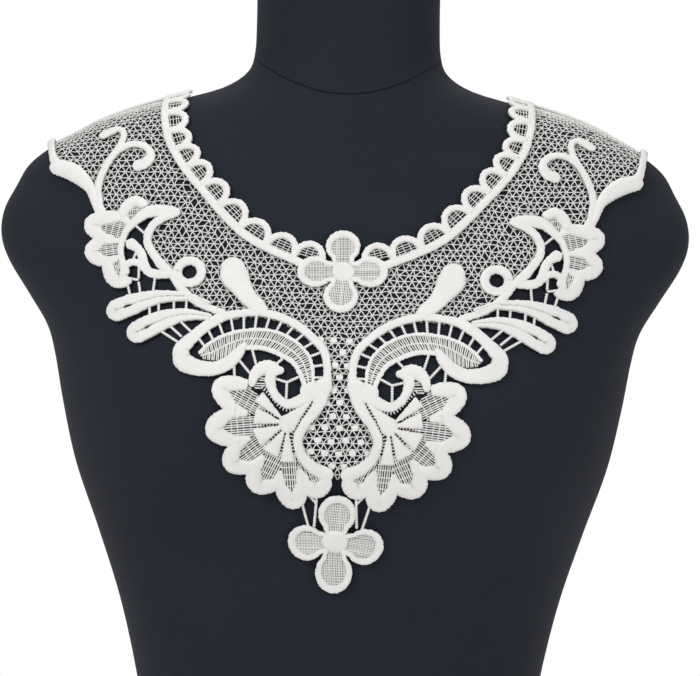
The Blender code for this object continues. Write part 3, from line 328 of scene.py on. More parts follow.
def smooth_rows(rows, steps):
    """Catmull-Rom curve through rows of numbers, with the same count of steps in each span."""
    rows = np.array(rows, float)
    place = np.linspace(0, len(rows) - 1, (len(rows) - 1) * steps + 1)
    row = np.clip(place.astype(int), 0, len(rows) - 2)
    f = (place - row)[:, None]
    padded = np.vstack([2 * rows[0] - rows[1], rows, 2 * rows[-1] - rows[-2]])
    a, b, c, d = padded[row], padded[row + 1], padded[row + 2], padded[row + 3]
    bend = (2 * a - 5 * b + 4 * c - d) * f ** 2 + (3 * b - a - 3 * c + d) * f ** 3
    return 0.5 * (2 * b + (c - a) * f + bend)


class FormSurface:
    """The outside of the dress form, and the lace pattern's place on it."""

    def __init__(self):
        self.rows = smooth_rows(FORM_SECTIONS, SECTION_STEPS)
        self.height = self.rows[:, 0]
        shoulder = self.rows[self.height >= SHOULDER_Z]
        self.shoulder_height = shoulder[:, 0]
        self.shoulder_width = shoulder[:, SECTION_COLUMNS.index("half_width")]
        self.xs = np.arange(0, DRAPE_X_END, DRAPE_STEP)
        self.ss = np.arange(DRAPE_LOW, DRAPE_HIGH + 1, DRAPE_STEP)
        columns = [self.column(x) for x in self.xs]
        self.y_grid = np.array([np.interp(self.ss, s, y) for s, y, z in columns])
        self.z_grid = np.array([np.interp(self.ss, s, z) for s, y, z in columns])
        back_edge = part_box("form_torso")[1][1] / MM
        self.shift = np.array([0, back_edge - self.depth(0.0, 0.0, False), 0])

    def size(self, z, name):
        return np.interp(z, self.height, self.rows[:, SECTION_COLUMNS.index(name)])

    def depth(self, x, z, front):
        """The y of the surface at x and z, on its front or its back."""
        fullness = self.size(z, "fullness")
        across = np.clip(np.abs(x) / self.size(z, "half_width"), 0, 1)
        roundness = (1 - across ** fullness) ** (1 / fullness)
        if not front:
            return self.size(z, "lean") + self.size(z, "back") * roundness
        level = BUST_RISE * np.exp(-((z - BUST_Z) / BUST_SPREAD_Z) ** 2 / 2)
        bust = level * sum(np.exp(-((x - bust_x) / BUST_SPREAD_X) ** 2 / 2) for bust_x in (-BUST_X, BUST_X))
        return self.size(z, "lean") - (self.size(z, "front") + bust) * roundness

    def crest(self, x):
        """Height of the shoulder's top line at x."""
        if x <= NECK_HALF_WIDTH:
            return NECK_TOP_Z
        return np.interp(-x, -self.shoulder_width, self.shoulder_height)

    def column(self, x):
        """The curve that the surface makes at one x, from low on the front, over the top, to the back."""
        top = self.crest(x)
        half_width = self.rows[:, SECTION_COLUMNS.index("half_width")]
        too_narrow = self.height[(half_width <= x) & (self.height < SHOULDER_Z)]
        low = max(COLUMN_FRONT_Z, too_narrow.max() + 0.01) if len(too_narrow) else COLUMN_FRONT_Z
        front_z = top - (top - low) * np.linspace(1, 0, COLUMN_FRONT_COUNT) ** 2
        back_z = top - (top - COLUMN_BACK_Z) * np.linspace(0, 1, COLUMN_BACK_COUNT)[1:] ** 2
        y = np.concatenate([self.depth(x, front_z, True), self.depth(x, back_z, False)])
        z = np.concatenate([front_z, back_z])
        s = np.concatenate([[0], np.cumsum(np.hypot(np.diff(y), np.diff(z)))])
        s -= np.interp(DRAPE_Z, front_z, s[:len(front_z)])
        return s, y, z

    def on_surface(self, x, s):
        """Points at x and at length s along the surface's curve there."""
        column = np.clip(np.abs(x) / DRAPE_STEP, 0, len(self.xs) - 1.001)
        row = np.clip((s - DRAPE_LOW) / DRAPE_STEP, 0, len(self.ss) - 1.001)
        i, j = column.astype(int), row.astype(int)
        f, g = column - i, row - j

        def mixed(grid):
            low = grid[i, j] * (1 - g) + grid[i, j + 1] * g
            high = grid[i + 1, j] * (1 - g) + grid[i + 1, j + 1] * g
            return low * (1 - f) + high * f

        return np.stack([x, mixed(self.y_grid), mixed(self.z_grid)], -1)

    def drape(self, points, side):
        """Pattern points with heights, on the form in metres: side is -1 for left and 1 for right."""
        u, v, lift = side * points[:, 0], points[:, 1], points[:, 2:3]
        x = FLOWER_X + u * math.cos(LACE_TILT) + v * math.sin(LACE_TILT)
        s = FLOWER_S - u * math.sin(LACE_TILT) + v * math.cos(LACE_TILT)
        along_x = self.on_surface(x + DRAPE_STEP, s) - self.on_surface(x - DRAPE_STEP, s)
        along_s = self.on_surface(x, s + DRAPE_STEP) - self.on_surface(x, s - DRAPE_STEP)
        outward = np.cross(along_x, along_s)
        outward /= np.linalg.norm(outward, axis=1)[:, None]
        return (self.on_surface(x, s) + outward * lift + self.shift) * MM


SURFACE = FormSurface()


def named(columns, row):
    return dict(zip(columns, row))


def direction(angle):
    return np.array([math.cos(math.radians(angle)), math.sin(math.radians(angle))])


def resampled(rows, step, steps_in_span=24):
    """A smooth curve through the rows, with points an even step apart, and the length up to each."""
    fine = smooth_rows(rows, steps_in_span)
    length = np.concatenate([[0], np.cumsum(np.linalg.norm(np.diff(fine[:, :2], axis=0), axis=1))])
    along = np.linspace(0, length[-1], max(2, round(length[-1] / step) + 1))
    return np.stack([np.interp(along, length, fine[:, k]) for k in range(fine.shape[1])], -1), along


def widened(points, half):
    """Rows of a stroke that is as wide all along."""
    return np.column_stack([points, np.full(len(points), half)])


def bearing(vector):
    """The angle in degrees of a vector on the pattern."""
    return math.degrees(math.atan2(vector[1], vector[0]))


def leftward(points):
    """Unit vectors to the left of a line of points."""
    ahead = np.gradient(points, axis=0)
    ahead /= np.linalg.norm(ahead, axis=1)[:, None]
    return np.stack([-ahead[:, 1], ahead[:, 0]], -1)


def forward(left):
    """The way that a line runs, from the unit vector to its left."""
    return np.array([left[1], -left[0]])


def at_share(path, share):
    """The point that lies a share of the way along a path."""
    return path[round(share * (len(path) - 1)), :2]


def between(starts, ends, shares):
    """Points at these shares of the way from each start to its end."""
    return starts[:, None] + (ends - starts)[:, None] * np.asarray(shares)[None, :, None]


def inside(points, outline):
    """True for the points that lie within a closed outline."""
    ends = np.roll(outline, -1, axis=0)
    above = (outline[None, :, 1] > points[:, None, 1]) != (ends[None, :, 1] > points[:, None, 1])
    rise = np.where(ends[:, 1] == outline[:, 1], 1e-9, ends[:, 1] - outline[:, 1])
    cross = outline[:, 0] + (points[:, None, 1] - outline[:, 1]) / rise * (ends[:, 0] - outline[:, 0])
    return (above & (points[:, None, 0] < cross)).sum(axis=1) % 2 == 1


def signed_area(outline):
    """The area within a closed outline, more than nothing where it runs anticlockwise."""
    following = np.roll(outline, -1, axis=0)
    return (outline[:, 0] * following[:, 1] - outline[:, 1] * following[:, 0]).sum() / 2


def turned_ccw(outline):
    return outline if signed_area(outline) > 0 else outline[::-1]


def grown(outline, amount):
    """A closed outline moved outward by an amount."""
    outline = turned_ccw(outline)
    along = np.roll(outline, -1, axis=0) - np.roll(outline, 1, axis=0)
    along /= np.linalg.norm(along, axis=1)[:, None]
    return outline + amount * np.stack([along[:, 1], -along[:, 0]], -1)


def oval(middle, angle, half_length, half_width, overlap=0.0):
    """Points round an ellipse that lies at an angle in degrees, running on past its start by the overlap."""
    around = np.linspace(0, math.tau + overlap, OVAL_CORNERS)
    long_way = np.outer(np.cos(around), direction(angle)) * half_length
    return np.array(middle) + long_way + np.outer(np.sin(around), direction(angle + 90)) * half_width


def petal_outline(row, middle_v):
    petal = named(FLOWER_PETAL_COLUMNS, row)
    middle = np.array([0, middle_v]) + direction(petal["angle"]) * petal["distance"]
    return oval(middle, petal["angle"], petal["half_length"], petal["half_width"])


def varied(half):
    """A thread's half width, a little thinner or thicker."""
    return half * RANDOM.uniform(*THREAD_VARIES)


class Thread:
    """Gathers tubes of thread on the pattern, and makes them one mesh draped over the form."""

    def __init__(self):
        self.points, self.marks, self.quads, self.caps = [], [], [], []
        self.count = 0

    def tubes(self, rings, marks):
        """Closed tubes, as (tube, ring, corner, u v height), with marks alike: lengths along and across."""
        count, length, corners = rings.shape[:3]
        index = np.arange(count * length * corners).reshape(count, length, corners) + self.count
        ahead = np.roll(index, -1, axis=2)
        quads = np.stack([index[:, :-1], index[:, 1:], ahead[:, 1:], ahead[:, :-1]], -1)
        self.quads.append(quads.reshape(-1, 4))
        self.caps += index[:, 0].tolist() + index[:, -1, ::-1].tolist()
        self.points.append(rings.reshape(-1, 3))
        self.marks.append(marks.reshape(-1, 3))
        self.count += count * length * corners

    def sweep(self, middle, left, offset, height, along, across):
        """One tube along a line: each corner's offset to the left of it and its height, and its marks."""
        place = middle[:, None] + left[:, None] * offset[..., None]
        rings = np.concatenate([place, height[..., None]], -1)
        marks = np.stack([np.broadcast_to(along[:, None], offset.shape), across, np.zeros(offset.shape)], -1)
        self.tubes(rings[None], marks[None])

    def satin(self, rows, ridge=CORD_HEIGHT, ends=(True, True), lift=MOTIF_LIFT, smooth=True):
        """A padded band of satin stitches along rows of (u, v, half width), with round ends where asked."""
        path, along = resampled(rows, RING_STEP, 24 if smooth else 1)
        middle, half = path[:, :2], path[:, 2]
        left = leftward(middle)
        fall = np.ones(len(path))
        turns = np.radians(END_TURNS)
        for end, onward, rounded in zip((0, -1), (-1, 1), ends):
            if rounded:
                reach = onward * np.sin(turns) * half[end]
                cap = (middle[end] + np.outer(reach, forward(left[end])), np.tile(left[end], (len(turns), 1)),
                       along[end] + reach, np.cos(turns), np.full(len(turns), half[end]))
                middle, left, along, fall, half = (
                    np.concatenate([band, more] if end else [more[::-1], band])
                    for band, more in zip((middle, left, along, fall, half), cap))
        across = np.cos(np.linspace(math.pi, 0, DOME_CORNERS))
        dome = np.sqrt(1 - across ** 4)
        side = EDGE_HEIGHT * SIDE_HEIGHT
        height = side + (ridge - side) * dome * np.sqrt(fall)[:, None]
        across = np.concatenate([across, [CORD_CORNER, -CORD_CORNER]])
        height = np.column_stack([height, np.full((len(along), 2), CORD_FOOT)])
        serration = RANDOM.uniform(-EDGE_DEPTH, EDGE_DEPTH, (2, len(along)))
        wide = half * fall + np.where(across[:, None] > 0, serration[0], serration[1])
        self.sweep(middle, left, across * wide.T, lift + height, along, across * half[:, None])

    def strokes(self, *tables, ridge=CORD_HEIGHT):
        for rows in tables:
            self.satin(rows, ridge)

    def ring(self, u, v, radius, half_width):
        """A closed satin ring."""
        rows = widened(oval((u, v), 0, radius, radius, RING_OVERLAP), half_width)
        self.satin(rows, ends=(False, False), smooth=False)

    def split_leaf(self, rows):
        """A padded leaf whose stitches run up one side, round the tip and back down the other."""
        path, along = resampled(rows, RING_STEP)
        left = leftward(path[:, :2])
        gap = SLIT_HALF * np.exp(-((along[-1] - along - SLIT_BACK) / SLIT_REACH) ** 2)
        offset, half = (path[:, 2:] + gap[:, None]) / 2, (path[:, 2] - gap) / 2
        turns = np.radians(np.linspace(LEAF_TURN, -LEAF_TURN, LEAF_CORNERS))
        around = np.outer(np.cos(turns), forward(left[-1])) + np.outer(np.sin(turns), left[-1])
        tip = path[-1, :2] + around * offset[-1]
        up = np.column_stack([path[:, :2] + left * offset, half])
        down = np.column_stack([path[:, :2] - left * offset, half])
        self.satin(np.vstack([up, widened(tip, half[-1]), down[::-1]]), LEAF_HEIGHT, smooth=False)

    def string(self, points, half, lift=FILL_LIFT, height=None, knobs=0.0, corners=5):
        """A thin thread along a line of points, bumpy where knobs is more than nothing."""
        path, along = resampled(points, KNOB_STEP if knobs else THREAD_STEP, THREAD_SPANS)
        left = leftward(path)
        uneven = RANDOM.uniform(-THREAD_UNEVEN, THREAD_UNEVEN, len(along))
        bump = 1 + knobs * np.sin(along * math.tau / KNOB_PITCH) + uneven
        angles = np.linspace(math.pi, -math.pi, corners, endpoint=False)
        height = height or half
        offset = np.cos(angles) * (half * bump)[:, None]
        self.sweep(path, left, offset, lift + height * (1 + np.sin(angles) * bump[:, None]), along, offset)

    def bars(self, rows):
        for u0, v0, u1, v1 in rows:
            self.string([(u0, v0), (u1, v1)], BAR_HALF, MOTIF_LIFT, BAR_HEIGHT, BAR_KNOBS, BAR_CORNERS)

    def hatch(self, outline, angle, pitch, half, lift=FILL_LIFT, shift=0.5):
        """Parallel threads across an outline, running at an angle in degrees."""
        along, across = direction(angle), direction(angle + 90)
        outline = np.asarray(outline, float)
        place = np.stack([outline @ along, outline @ across], -1)
        following = np.roll(place, -1, axis=0)
        low, high = place[:, 1].min(), place[:, 1].max()
        for level in np.arange(low + pitch * shift, high, pitch):
            level += RANDOM.uniform(-LEVEL_UNEVEN, LEVEL_UNEVEN) * pitch
            crossed = (place[:, 1] > level) != (following[:, 1] > level)
            a, b = place[crossed], following[crossed]
            if len(a) < 2:
                continue
            hits = np.sort(a[:, 0] + (level - a[:, 1]) / (b[:, 1] - a[:, 1]) * (b[:, 0] - a[:, 0]))
            for start, end in zip(hits[::2], hits[1::2]):
                if end - start > THREAD_SHORTEST:
                    ends = [start * along + level * across, end * along + level * across]
                    self.string(ends, varied(half), lift)

    def grid(self, outline, angle, row):
        """A woven grid within an outline, its closer threads at the angle."""
        grid = named(GRID_COLUMNS, row)
        self.hatch(outline, angle, grid["pitch"], grid["half"], shift=grid["shift"])
        lift = FILL_LIFT + grid["cross_lift"]
        self.hatch(outline, angle + 90, grid["cross_pitch"], grid["cross_half"], lift, grid["cross_shift"])

    def comb(self, rows_a, rows_b):
        """Threads from one curve to another, evenly spaced on the first."""
        path_a, along = resampled(rows_a, COMB_SAMPLE)
        path_b = resampled(rows_b, COMB_SAMPLE)[0]
        count = max(2, int(along[-1] * (COMB_LAST - COMB_FIRST) / COMB_PITCH))
        for share in np.linspace(COMB_FIRST, COMB_LAST, count):
            self.string([at_share(path_a, share), at_share(path_b, share)], varied(COMB_HALF))

    def dashes(self, points):
        """Short cross threads over a gap that runs along a line of points."""
        path = resampled(np.asarray(points, float), DASH_PITCH, DASH_STEPS)[0]
        for middle, left in zip(path, leftward(path)):
            self.string([middle - left * DASH_REACH, middle + left * DASH_REACH], DASH_HALF, MOTIF_LIFT)

    def piece(self, name, material, side=1):
        """The gathered thread as one object."""
        points = SURFACE.drape(np.vstack(self.points), side)
        quads = np.vstack(self.quads)
        faces = (quads if side > 0 else quads[:, ::-1]).tolist()
        faces += self.caps if side > 0 else [cap[::-1] for cap in self.caps]
        return mesh_object(name, points, faces, material, np.vstack(self.marks))


def mesh_object(name, points, faces, material, marks=None):
    """One smooth-shaded object, with the stitch marks that its material reads."""
    data = bpy.data.meshes.new(name)
    data.from_pydata(np.asarray(points).tolist(), [], faces)
    data.polygons.foreach_set("use_smooth", np.ones(len(data.polygons), bool))
    if marks is not None:
        layer = data.attributes.new("stitch", "FLOAT_VECTOR", "POINT")
        layer.data.foreach_set("vector", np.ascontiguousarray(marks, np.float32).ravel())
    data.materials.append(material)
    data.update()
    made = bpy.data.objects.new(name, data)
    bpy.context.scene.collection.objects.link(made)
    return made


def half_arch(start, end, rise, half_width, bulge_width, point=1.0):
    """Rows of a half ellipse on the line from start to end: it rises to the left, or by a vector.

    It is more pointed the further its point is above 1, and a parabola at 2.
    """
    start, end = np.asarray(start, float), np.asarray(end, float)
    along = (end - start) / 2
    if np.ndim(rise) == 0:
        rise = np.array([-along[1], along[0]]) / np.linalg.norm(along) * rise
    angles = np.linspace(0, math.pi, LOBE_CORNERS)
    points = (start + end) / 2 - np.outer(np.cos(angles), along) + np.outer(np.sin(angles) ** point, rise)
    return np.column_stack([points, half_width + (bulge_width - half_width) * np.sin(angles)])


def neck_edging():
    """The neckline cord and its scallops, each filled with a small grid."""
    thread = Thread()
    thread.satin(NECK)
    path, along = resampled(NECK, NECK_SAMPLE)
    left = leftward(path[:, :2])
    spans = [(*np.array(FIRST_SCALLOP), FIRST_SCALLOP_RISE)]
    for row in SCALLOPS:
        scallop = named(SCALLOP_COLUMNS, row)
        near = min(int(np.searchsorted(along, scallop["distance"])), len(along) - 1)
        foot = path[near, :2] + left[near] * SCALLOP_FOOT
        reach = forward(left[near]) * scallop["half"]
        spans.append((foot - reach, foot + reach, SCALLOP_RISE - SCALLOP_FOOT))
    for start, end, rise in spans:
        rows = half_arch(start, end, rise, SCALLOP_RIM, SCALLOP_RIM)
        rows = rows[~inside(rows[:, :2], petal_outline(TOP_PETALS[0], TOP_V))]
        thread.satin(rows, ends=(False, False), smooth=False)
        thread.grid(rows[:, :2], bearing(end - start), SCALLOP_GRID)
    return thread


def flower(middle_v, petals, eye):
    """A flower: rimmed petals filled with a woven grid, round a padded eye."""
    thread = Thread()
    for row in petals:
        petal = named(FLOWER_PETAL_COLUMNS, row)
        out, across = direction(petal["angle"]), direction(petal["angle"] + 90)
        turns = np.radians(np.linspace(-PETAL_TURN, PETAL_TURN, PETAL_CORNERS))
        half = PETAL_LEG + (PETAL_RIM - PETAL_LEG) * np.cos(turns / 2) ** 2
        long_way = petal["distance"] + (petal["half_length"] + PETAL_RIM - half) * np.cos(turns)
        wide_way = (petal["half_width"] + PETAL_RIM - half) * np.sin(turns)
        place = np.vstack([(PETAL_FOOT, -PETAL_FOOT_HALF), np.column_stack([long_way, wide_way]),
                           (PETAL_FOOT, PETAL_FOOT_HALF)])
        outline = np.array([0, middle_v]) + np.outer(place[:, 0], out) + np.outer(place[:, 1], across)
        rows = np.column_stack([outline, np.concatenate([[PETAL_LEG], half, [PETAL_LEG]])])
        thread.satin(rows, ends=(False, False), smooth=False)
        thread.grid(outline, petal["angle"], PETAL_GRID)
    thread.satin(((-EYE_SHIFT, middle_v, eye), (EYE_SHIFT, middle_v, eye)), LEAF_HEIGHT)
    return thread


def sprig():
    thread = Thread()
    thread.strokes(EDGE, BACK, STEM_LOW, STEM_HIGH, LEAF_FOOT)
    thread.satin(LEAF, LEAF_HEIGHT)
    return thread


def shell():
    """The small shell: a lobed rim over woven grids, a crescent, a scroll and a hooked cord."""
    thread = Thread()
    thread.strokes(SHELL_INNER, CRESCENT, SHELL_SCROLL, SHELL_HOOK)
    notches = [(np.array(row[:2]), np.array(row[2:])) for row in SHELL_NOTCHES]
    for (start, first), (end, last), tip in zip(notches[:-1], notches[1:], SHELL_TIPS):
        across = np.array(tip[:2]) - (start + end) / 2
        rows = half_arch(start, end, across, SHELL_FOOT_HALF, tip[2], LOBE_POINT)
        thread.satin(rows, LEAF_HEIGHT, ends=(False, False), smooth=False)
        pocket = np.vstack([rows[:, :2], last, first])
        thread.grid(pocket, bearing(across), SHELL_GRID)
    for start, inner in notches[1:-1]:
        thread.satin(((*start, SHELL_WEDGE_START), (*inner, SHELL_WEDGE_END)), ends=(False, False))
    thread.bars(SHELL_BARS)
    return thread


def loop_with_tail():
    thread = Thread()
    thread.ring(RING_U, RING_V, RING_RADIUS, RING_HALF)
    thread.satin(TAIL)
    return thread


def drop():
    thread = Thread()
    thread.satin(DROP, LEAF_HEIGHT)
    return thread


def feathers():
    thread = Thread()
    for rows in (FEATHER_HIGH, FEATHER_LOW):
        thread.split_leaf(rows)
    thread.bars(FEATHER_BARS)
    return thread


def arch():
    """The arch: an outer cord, a ladder of bars, a band of comb stitches, and the big lobe at its foot."""
    thread = Thread()
    thread.satin(ARCH)
    thread.satin(ARCH_CREST, CREST_HEIGHT)
    thread.satin(ARCH_HOLLOW, HOLLOW_HEIGHT)
    thread.satin(BIG_LOBE, LEAF_HEIGHT)
    outer = resampled(ARCH, ARCH_SAMPLE)[0]
    inner = resampled(ARCH_CREST, ARCH_SAMPLE)[0]
    for share in np.linspace(LADDER_FIRST, LADDER_LAST, LADDER_STEPS):
        start, end = at_share(outer, share), at_share(inner, share)
        start = start + (end - start) / np.linalg.norm(end - start) * LADDER_ROOT
        thread.bars([(*start, *end)])
    crest, hollow = np.array(ARCH_CREST)[:, :2], np.array(ARCH_HOLLOW)[1:1 + COMB_HOLLOW_ROWS, :2]
    foot = np.vstack([COMB_FOOT, hollow])
    middle = (crest + foot) / 2
    thread.string(middle, COMB_SPINE)
    thread.comb(crest, middle)
    thread.comb(middle, foot)
    return thread


def fan():
    """The large fan: a rim of lobes, woven grids, petals round a hub, the curl and its bars."""
    thread = Thread()
    thread.strokes(FAN_CURL, FAN_KNOT, CAP, S_CORD, HUB, ridge=LEAF_HEIGHT)
    hub = np.array([HUB_U, HUB_V])
    notches = np.array(FAN_NOTCHES, float)
    for k in range(1, len(notches) - 1):
        inward = (hub - notches[k]) / np.linalg.norm(hub - notches[k])
        tip = notches[k] + inward * FAN_WEDGE_REACH
        notches[k] += inward * FAN_NOTCH_SINK
        thread.satin(((*notches[k], FAN_WEDGE_START), (*tip, FAN_WEDGE_END)), ends=(False, False))
    for start, end, rise in zip(notches[:-1], notches[1:], FAN_RISES):
        rise += FAN_NOTCH_SINK
        rows = half_arch(start, end, rise, FAN_NOTCH_HALF, FAN_BULGE_HALF, LOBE_POINT)
        thread.satin(rows, LEAF_HEIGHT, ends=(False, False), smooth=False)
        inner = [hub + (point - hub) * FAN_POCKET for point in (end, start)]
        pocket = np.vstack([rows[:, :2], inner])
        thread.grid(pocket, bearing(rows[len(rows) // 2, :2] - hub), FAN_GRID)
    for row in FAN_PETALS:
        petal = named(FAN_PETAL_COLUMNS, row)
        out = direction(petal["angle"])
        first, last = hub + out * petal["start"], hub + out * petal["end"]
        rows = ((*first, petal["half_width"] * FAN_PETAL_ROOT), (*last, petal["half_width"]))
        thread.satin(rows, LEAF_HEIGHT, ends=(False, False))
    for points in FAN_GAPS:
        thread.dashes(points)
    thread.hatch(CAP_EYE, 0, CAP_EYE_PITCH, CAP_EYE_HALF)
    thread.bars(FAN_BARS)
    return thread


def net_half_outline():
    """The net's edge, which follows the middle of the cords around it, for one side."""
    curves = (NECK, BACK[::-1][1:], EDGE[::-1][1:], LEAF[::-1][1:], NET_UNDER_LEAF, NET_OVER_SHELL,
              CRESCENT[1:], TAIL, ARCH[4:], S_CORD)
    points = [NET_TOP]
    for rows in curves:
        if len(rows) > 2:
            rows = resampled(rows, NET_OUTLINE_STEP)[0]
        points += [row[:2] for row in rows]
    return np.array(points + [NET_FOOT], float)


def net_outline():
    half = net_half_outline()
    mirrored = half[::-1] * np.array([-1, 1])
    return turned_ccw(np.vstack([half[1:-1], half[-1:], mirrored[1:-1], half[:1]]))


def net_holes():
    """Where other stitching takes the net's place: the ring's eye and the top flower's petals."""
    holes = [oval((side * RING_U, RING_V), 0, RING_RADIUS, RING_RADIUS) for side in (-1, 1)]
    return holes + [petal_outline(row, TOP_V) for row in TOP_PETALS]


def net():
    """The hand-made looking net: an uneven lattice of triangles, knotted where its threads meet."""
    outline = grown(net_outline(), NET_TUCK)
    holes = net_holes()

    def kept(points):
        flat = points.reshape(-1, 2)
        result = inside(flat, outline)
        for hole in holes:
            result &= ~inside(flat, hole)
        return result.reshape(points.shape[:-1])

    low, high = outline.min(axis=0) - NET_PITCH, outline.max(axis=0) + NET_PITCH
    rows = np.arange(low[1], high[1], NET_ROW)
    columns = np.arange(low[0], high[0], NET_PITCH)
    u, v = np.meshgrid(columns, rows)
    u = u + (np.arange(len(rows)) % 2)[:, None] * NET_PITCH / 2
    nodes = np.stack([u, v], -1)
    wave_u = NET_SWAY * np.sin(v / SWAY_V + u / SWAY_U)
    wave_v = NET_SWAY * np.sin(u / RISE_U + RISE_SHIFT) + NET_RIPPLE * np.sin(v / RIPPLE_V + u / RIPPLE_U)
    nodes = nodes + np.stack([wave_u, wave_v], -1) + RANDOM.normal(0, NET_JITTER, nodes.shape)
    pairs = [(nodes[:, :-1], nodes[:, 1:])]
    for row, (below, above) in enumerate(zip(nodes[:-1], nodes[1:])):
        if row % 2 == 0:
            pairs += [(below[:-1], above[:-1]), (below[1:], above[:-1])]
        else:
            pairs += [(below[:-1], above[1:]), (below, above)]
    starts = np.vstack([a.reshape(-1, 2) for a, b in pairs])
    ends = np.vstack([b.reshape(-1, 2) for a, b in pairs])
    present = RANDOM.random(len(starts)) > NET_MISSING
    starts, ends = starts[present], ends[present]
    flip = ~kept(starts) & kept(ends)
    starts[flip], ends[flip] = ends[flip], starts[flip]
    run = np.cumprod(kept(between(starts, ends, np.linspace(0, 1, NET_PLACES))), axis=1).sum(axis=1)
    good = run >= NET_LEAST
    starts, ends, run = starts[good], ends[good], run[good]
    ends = starts + (ends - starts) * ((run - 1) / (NET_PLACES - 1))[:, None]
    thread = Thread()
    thread.tubes(*net_tubes(starts, ends))
    medallion_dots(thread)
    return thread, outline.max(axis=0) - outline.min(axis=0), signed_area(outline)


def net_tubes(starts, ends):
    """Each thread of the net as a four-sided tube of three rings, thicker at its knots."""
    ahead = ends - starts
    length = np.linalg.norm(ahead, axis=1)
    ahead = ahead / length[:, None]
    left = np.stack([-ahead[:, 1], ahead[:, 0]], -1)
    angles = np.array([math.pi, math.pi / 2, 0, -math.pi / 2])
    place, size = np.array([0, 0.5, 1]), np.array([NET_KNOT, NET_HALF, NET_KNOT])
    bow = RANDOM.normal(0, NET_BOW, len(starts))
    middle = between(starts, ends, place)
    middle[:, 1] += left * bow[:, None]
    rings = np.empty((len(starts), 3, 4, 3))
    offset = np.cos(angles)[None, :] * size[:, None]
    rings[..., :2] = middle[:, :, None] + left[:, None, None] * offset[None, :, :, None]
    layer = RANDOM.uniform(0, NET_LAYER, len(starts))
    rings[..., 2] = NET_LIFT + layer[:, None, None] + NET_THICK * (1 + np.sin(angles)[None, None])
    marks = np.zeros_like(rings)
    marks[..., 0] = (length[:, None] * place[None])[:, :, None]
    marks[..., 1] = offset[None]
    return rings, marks


def medallion_dots(thread):
    """The round worked dots in the net between the two fans."""
    outline = grown(net_outline(), -MEDALLION_INSET)
    rows = np.arange(MEDALLION_TOP_V, MEDALLION_FOOT_V, -MEDALLION_PITCH_V)
    for k, v in enumerate(rows):
        columns = np.arange(-MEDALLION_HALF_U, MEDALLION_HALF_U + 0.1, MEDALLION_PITCH_U)
        for u in columns + (k % 2) * MEDALLION_PITCH_U / 2:
            u_here, v_here = np.array([u, v]) + RANDOM.uniform(-DOT_JITTER, DOT_JITTER, 2)
            if inside(np.array([[u_here, v_here]]), outline)[0]:
                ends = [(u_here + stretch, v_here, DOT_HALF) for stretch in (-DOT_STRETCH, DOT_STRETCH)]
                thread.satin(ends, DOT_HEIGHT, lift=NET_LIFT)


def node(tree, kind, links=(), **settings):
    """A shader node with its settings, fed by (input name or number, output socket or value) pairs."""
    made = tree.nodes.new(kind)
    for name, value in settings.items():
        setattr(made, name, value)
    for name, value in links:
        if isinstance(value, bpy.types.NodeSocket):
            tree.links.new(value, made.inputs[name])
        else:
            made.inputs[name].default_value = value
    return made


def maths(tree, operation, *values):
    return node(tree, "ShaderNodeMath", list(enumerate(values)), operation=operation).outputs[0]


def blend(tree, factor, first, second):
    """A colour between two others."""
    links = [("Factor", factor), (MIX_FIRST, first), (MIX_SECOND, second)]
    return node(tree, "ShaderNodeMix", links, data_type="RGBA").outputs[MIX_RESULT]


def noise(tree, place, look):
    scale, detail = look
    links = [("Vector", place), ("Scale", scale), ("Detail", detail)]
    return node(tree, "ShaderNodeTexNoise", links).outputs["Fac"]


def bumped(tree, shader, height, strength, depth):
    """Gives a shader small relief, its depth in millimetres."""
    links = [("Height", height), ("Strength", strength), ("Distance", depth * MM)]
    tree.links.new(node(tree, "ShaderNodeBump", links).outputs["Normal"], shader.inputs["Normal"])


def new_material(name, look):
    """A material with its node tree, its shader, and the place that its noises read."""
    made = bpy.data.materials.new(name)
    made.use_nodes = True
    shader = made.node_tree.nodes["Principled BSDF"]
    sockets = ("Roughness", "Sheen Weight", "Specular IOR Level", "Sheen Roughness")
    for socket, value in zip(sockets, (*look, SHEEN_ROUGHNESS)):
        shader.inputs[socket].default_value = value
    place = node(made.node_tree, "ShaderNodeNewGeometry").outputs["Position"]
    return made, made.node_tree, shader, place


def thread_material(name, colour, groove_shade_and_blotch, pitch, depth):
    """Cotton thread: stitches side by side, darkened with painted shade in the grooves between them, fine
    fibre, and a little random unevenness in colour.
    """
    made, tree, shader, place = new_material(name, THREAD_LOOK)
    stitch = node(tree, "ShaderNodeAttribute", attribute_name="stitch").outputs["Vector"]
    split = node(tree, "ShaderNodeSeparateXYZ", [("Vector", stitch)]).outputs
    blotch = noise(tree, place, BLOTCH)
    slant = maths(tree, "MULTIPLY_ADD", split["Y"], STITCH_SLANT, split["X"])
    wobble = maths(tree, "MULTIPLY_ADD", blotch, STITCH_WOBBLE, slant)
    wave = maths(tree, "SINE", maths(tree, "MULTIPLY", wobble, math.tau / pitch))
    ridge = maths(tree, "MULTIPLY_ADD", wave, 0.5, 0.5)
    # Painted shade: the colour darkens where the stitch wave dips into its grooves, mixed with random
    # blotches of tone
    tone = maths(tree, "MULTIPLY_ADD", ridge, STITCH_SHADE_SHARE, maths(tree, "MULTIPLY", blotch, 1 - STITCH_SHADE_SHARE))
    tree.links.new(blend(tree, tone, groove_shade_and_blotch, colour), shader.inputs["Base Color"])
    rough = maths(tree, "MULTIPLY_ADD", noise(tree, place, FIBRE), FIBRE_RISE, ridge)
    bumped(tree, shader, rough, STITCH_STRENGTH, depth)
    return made


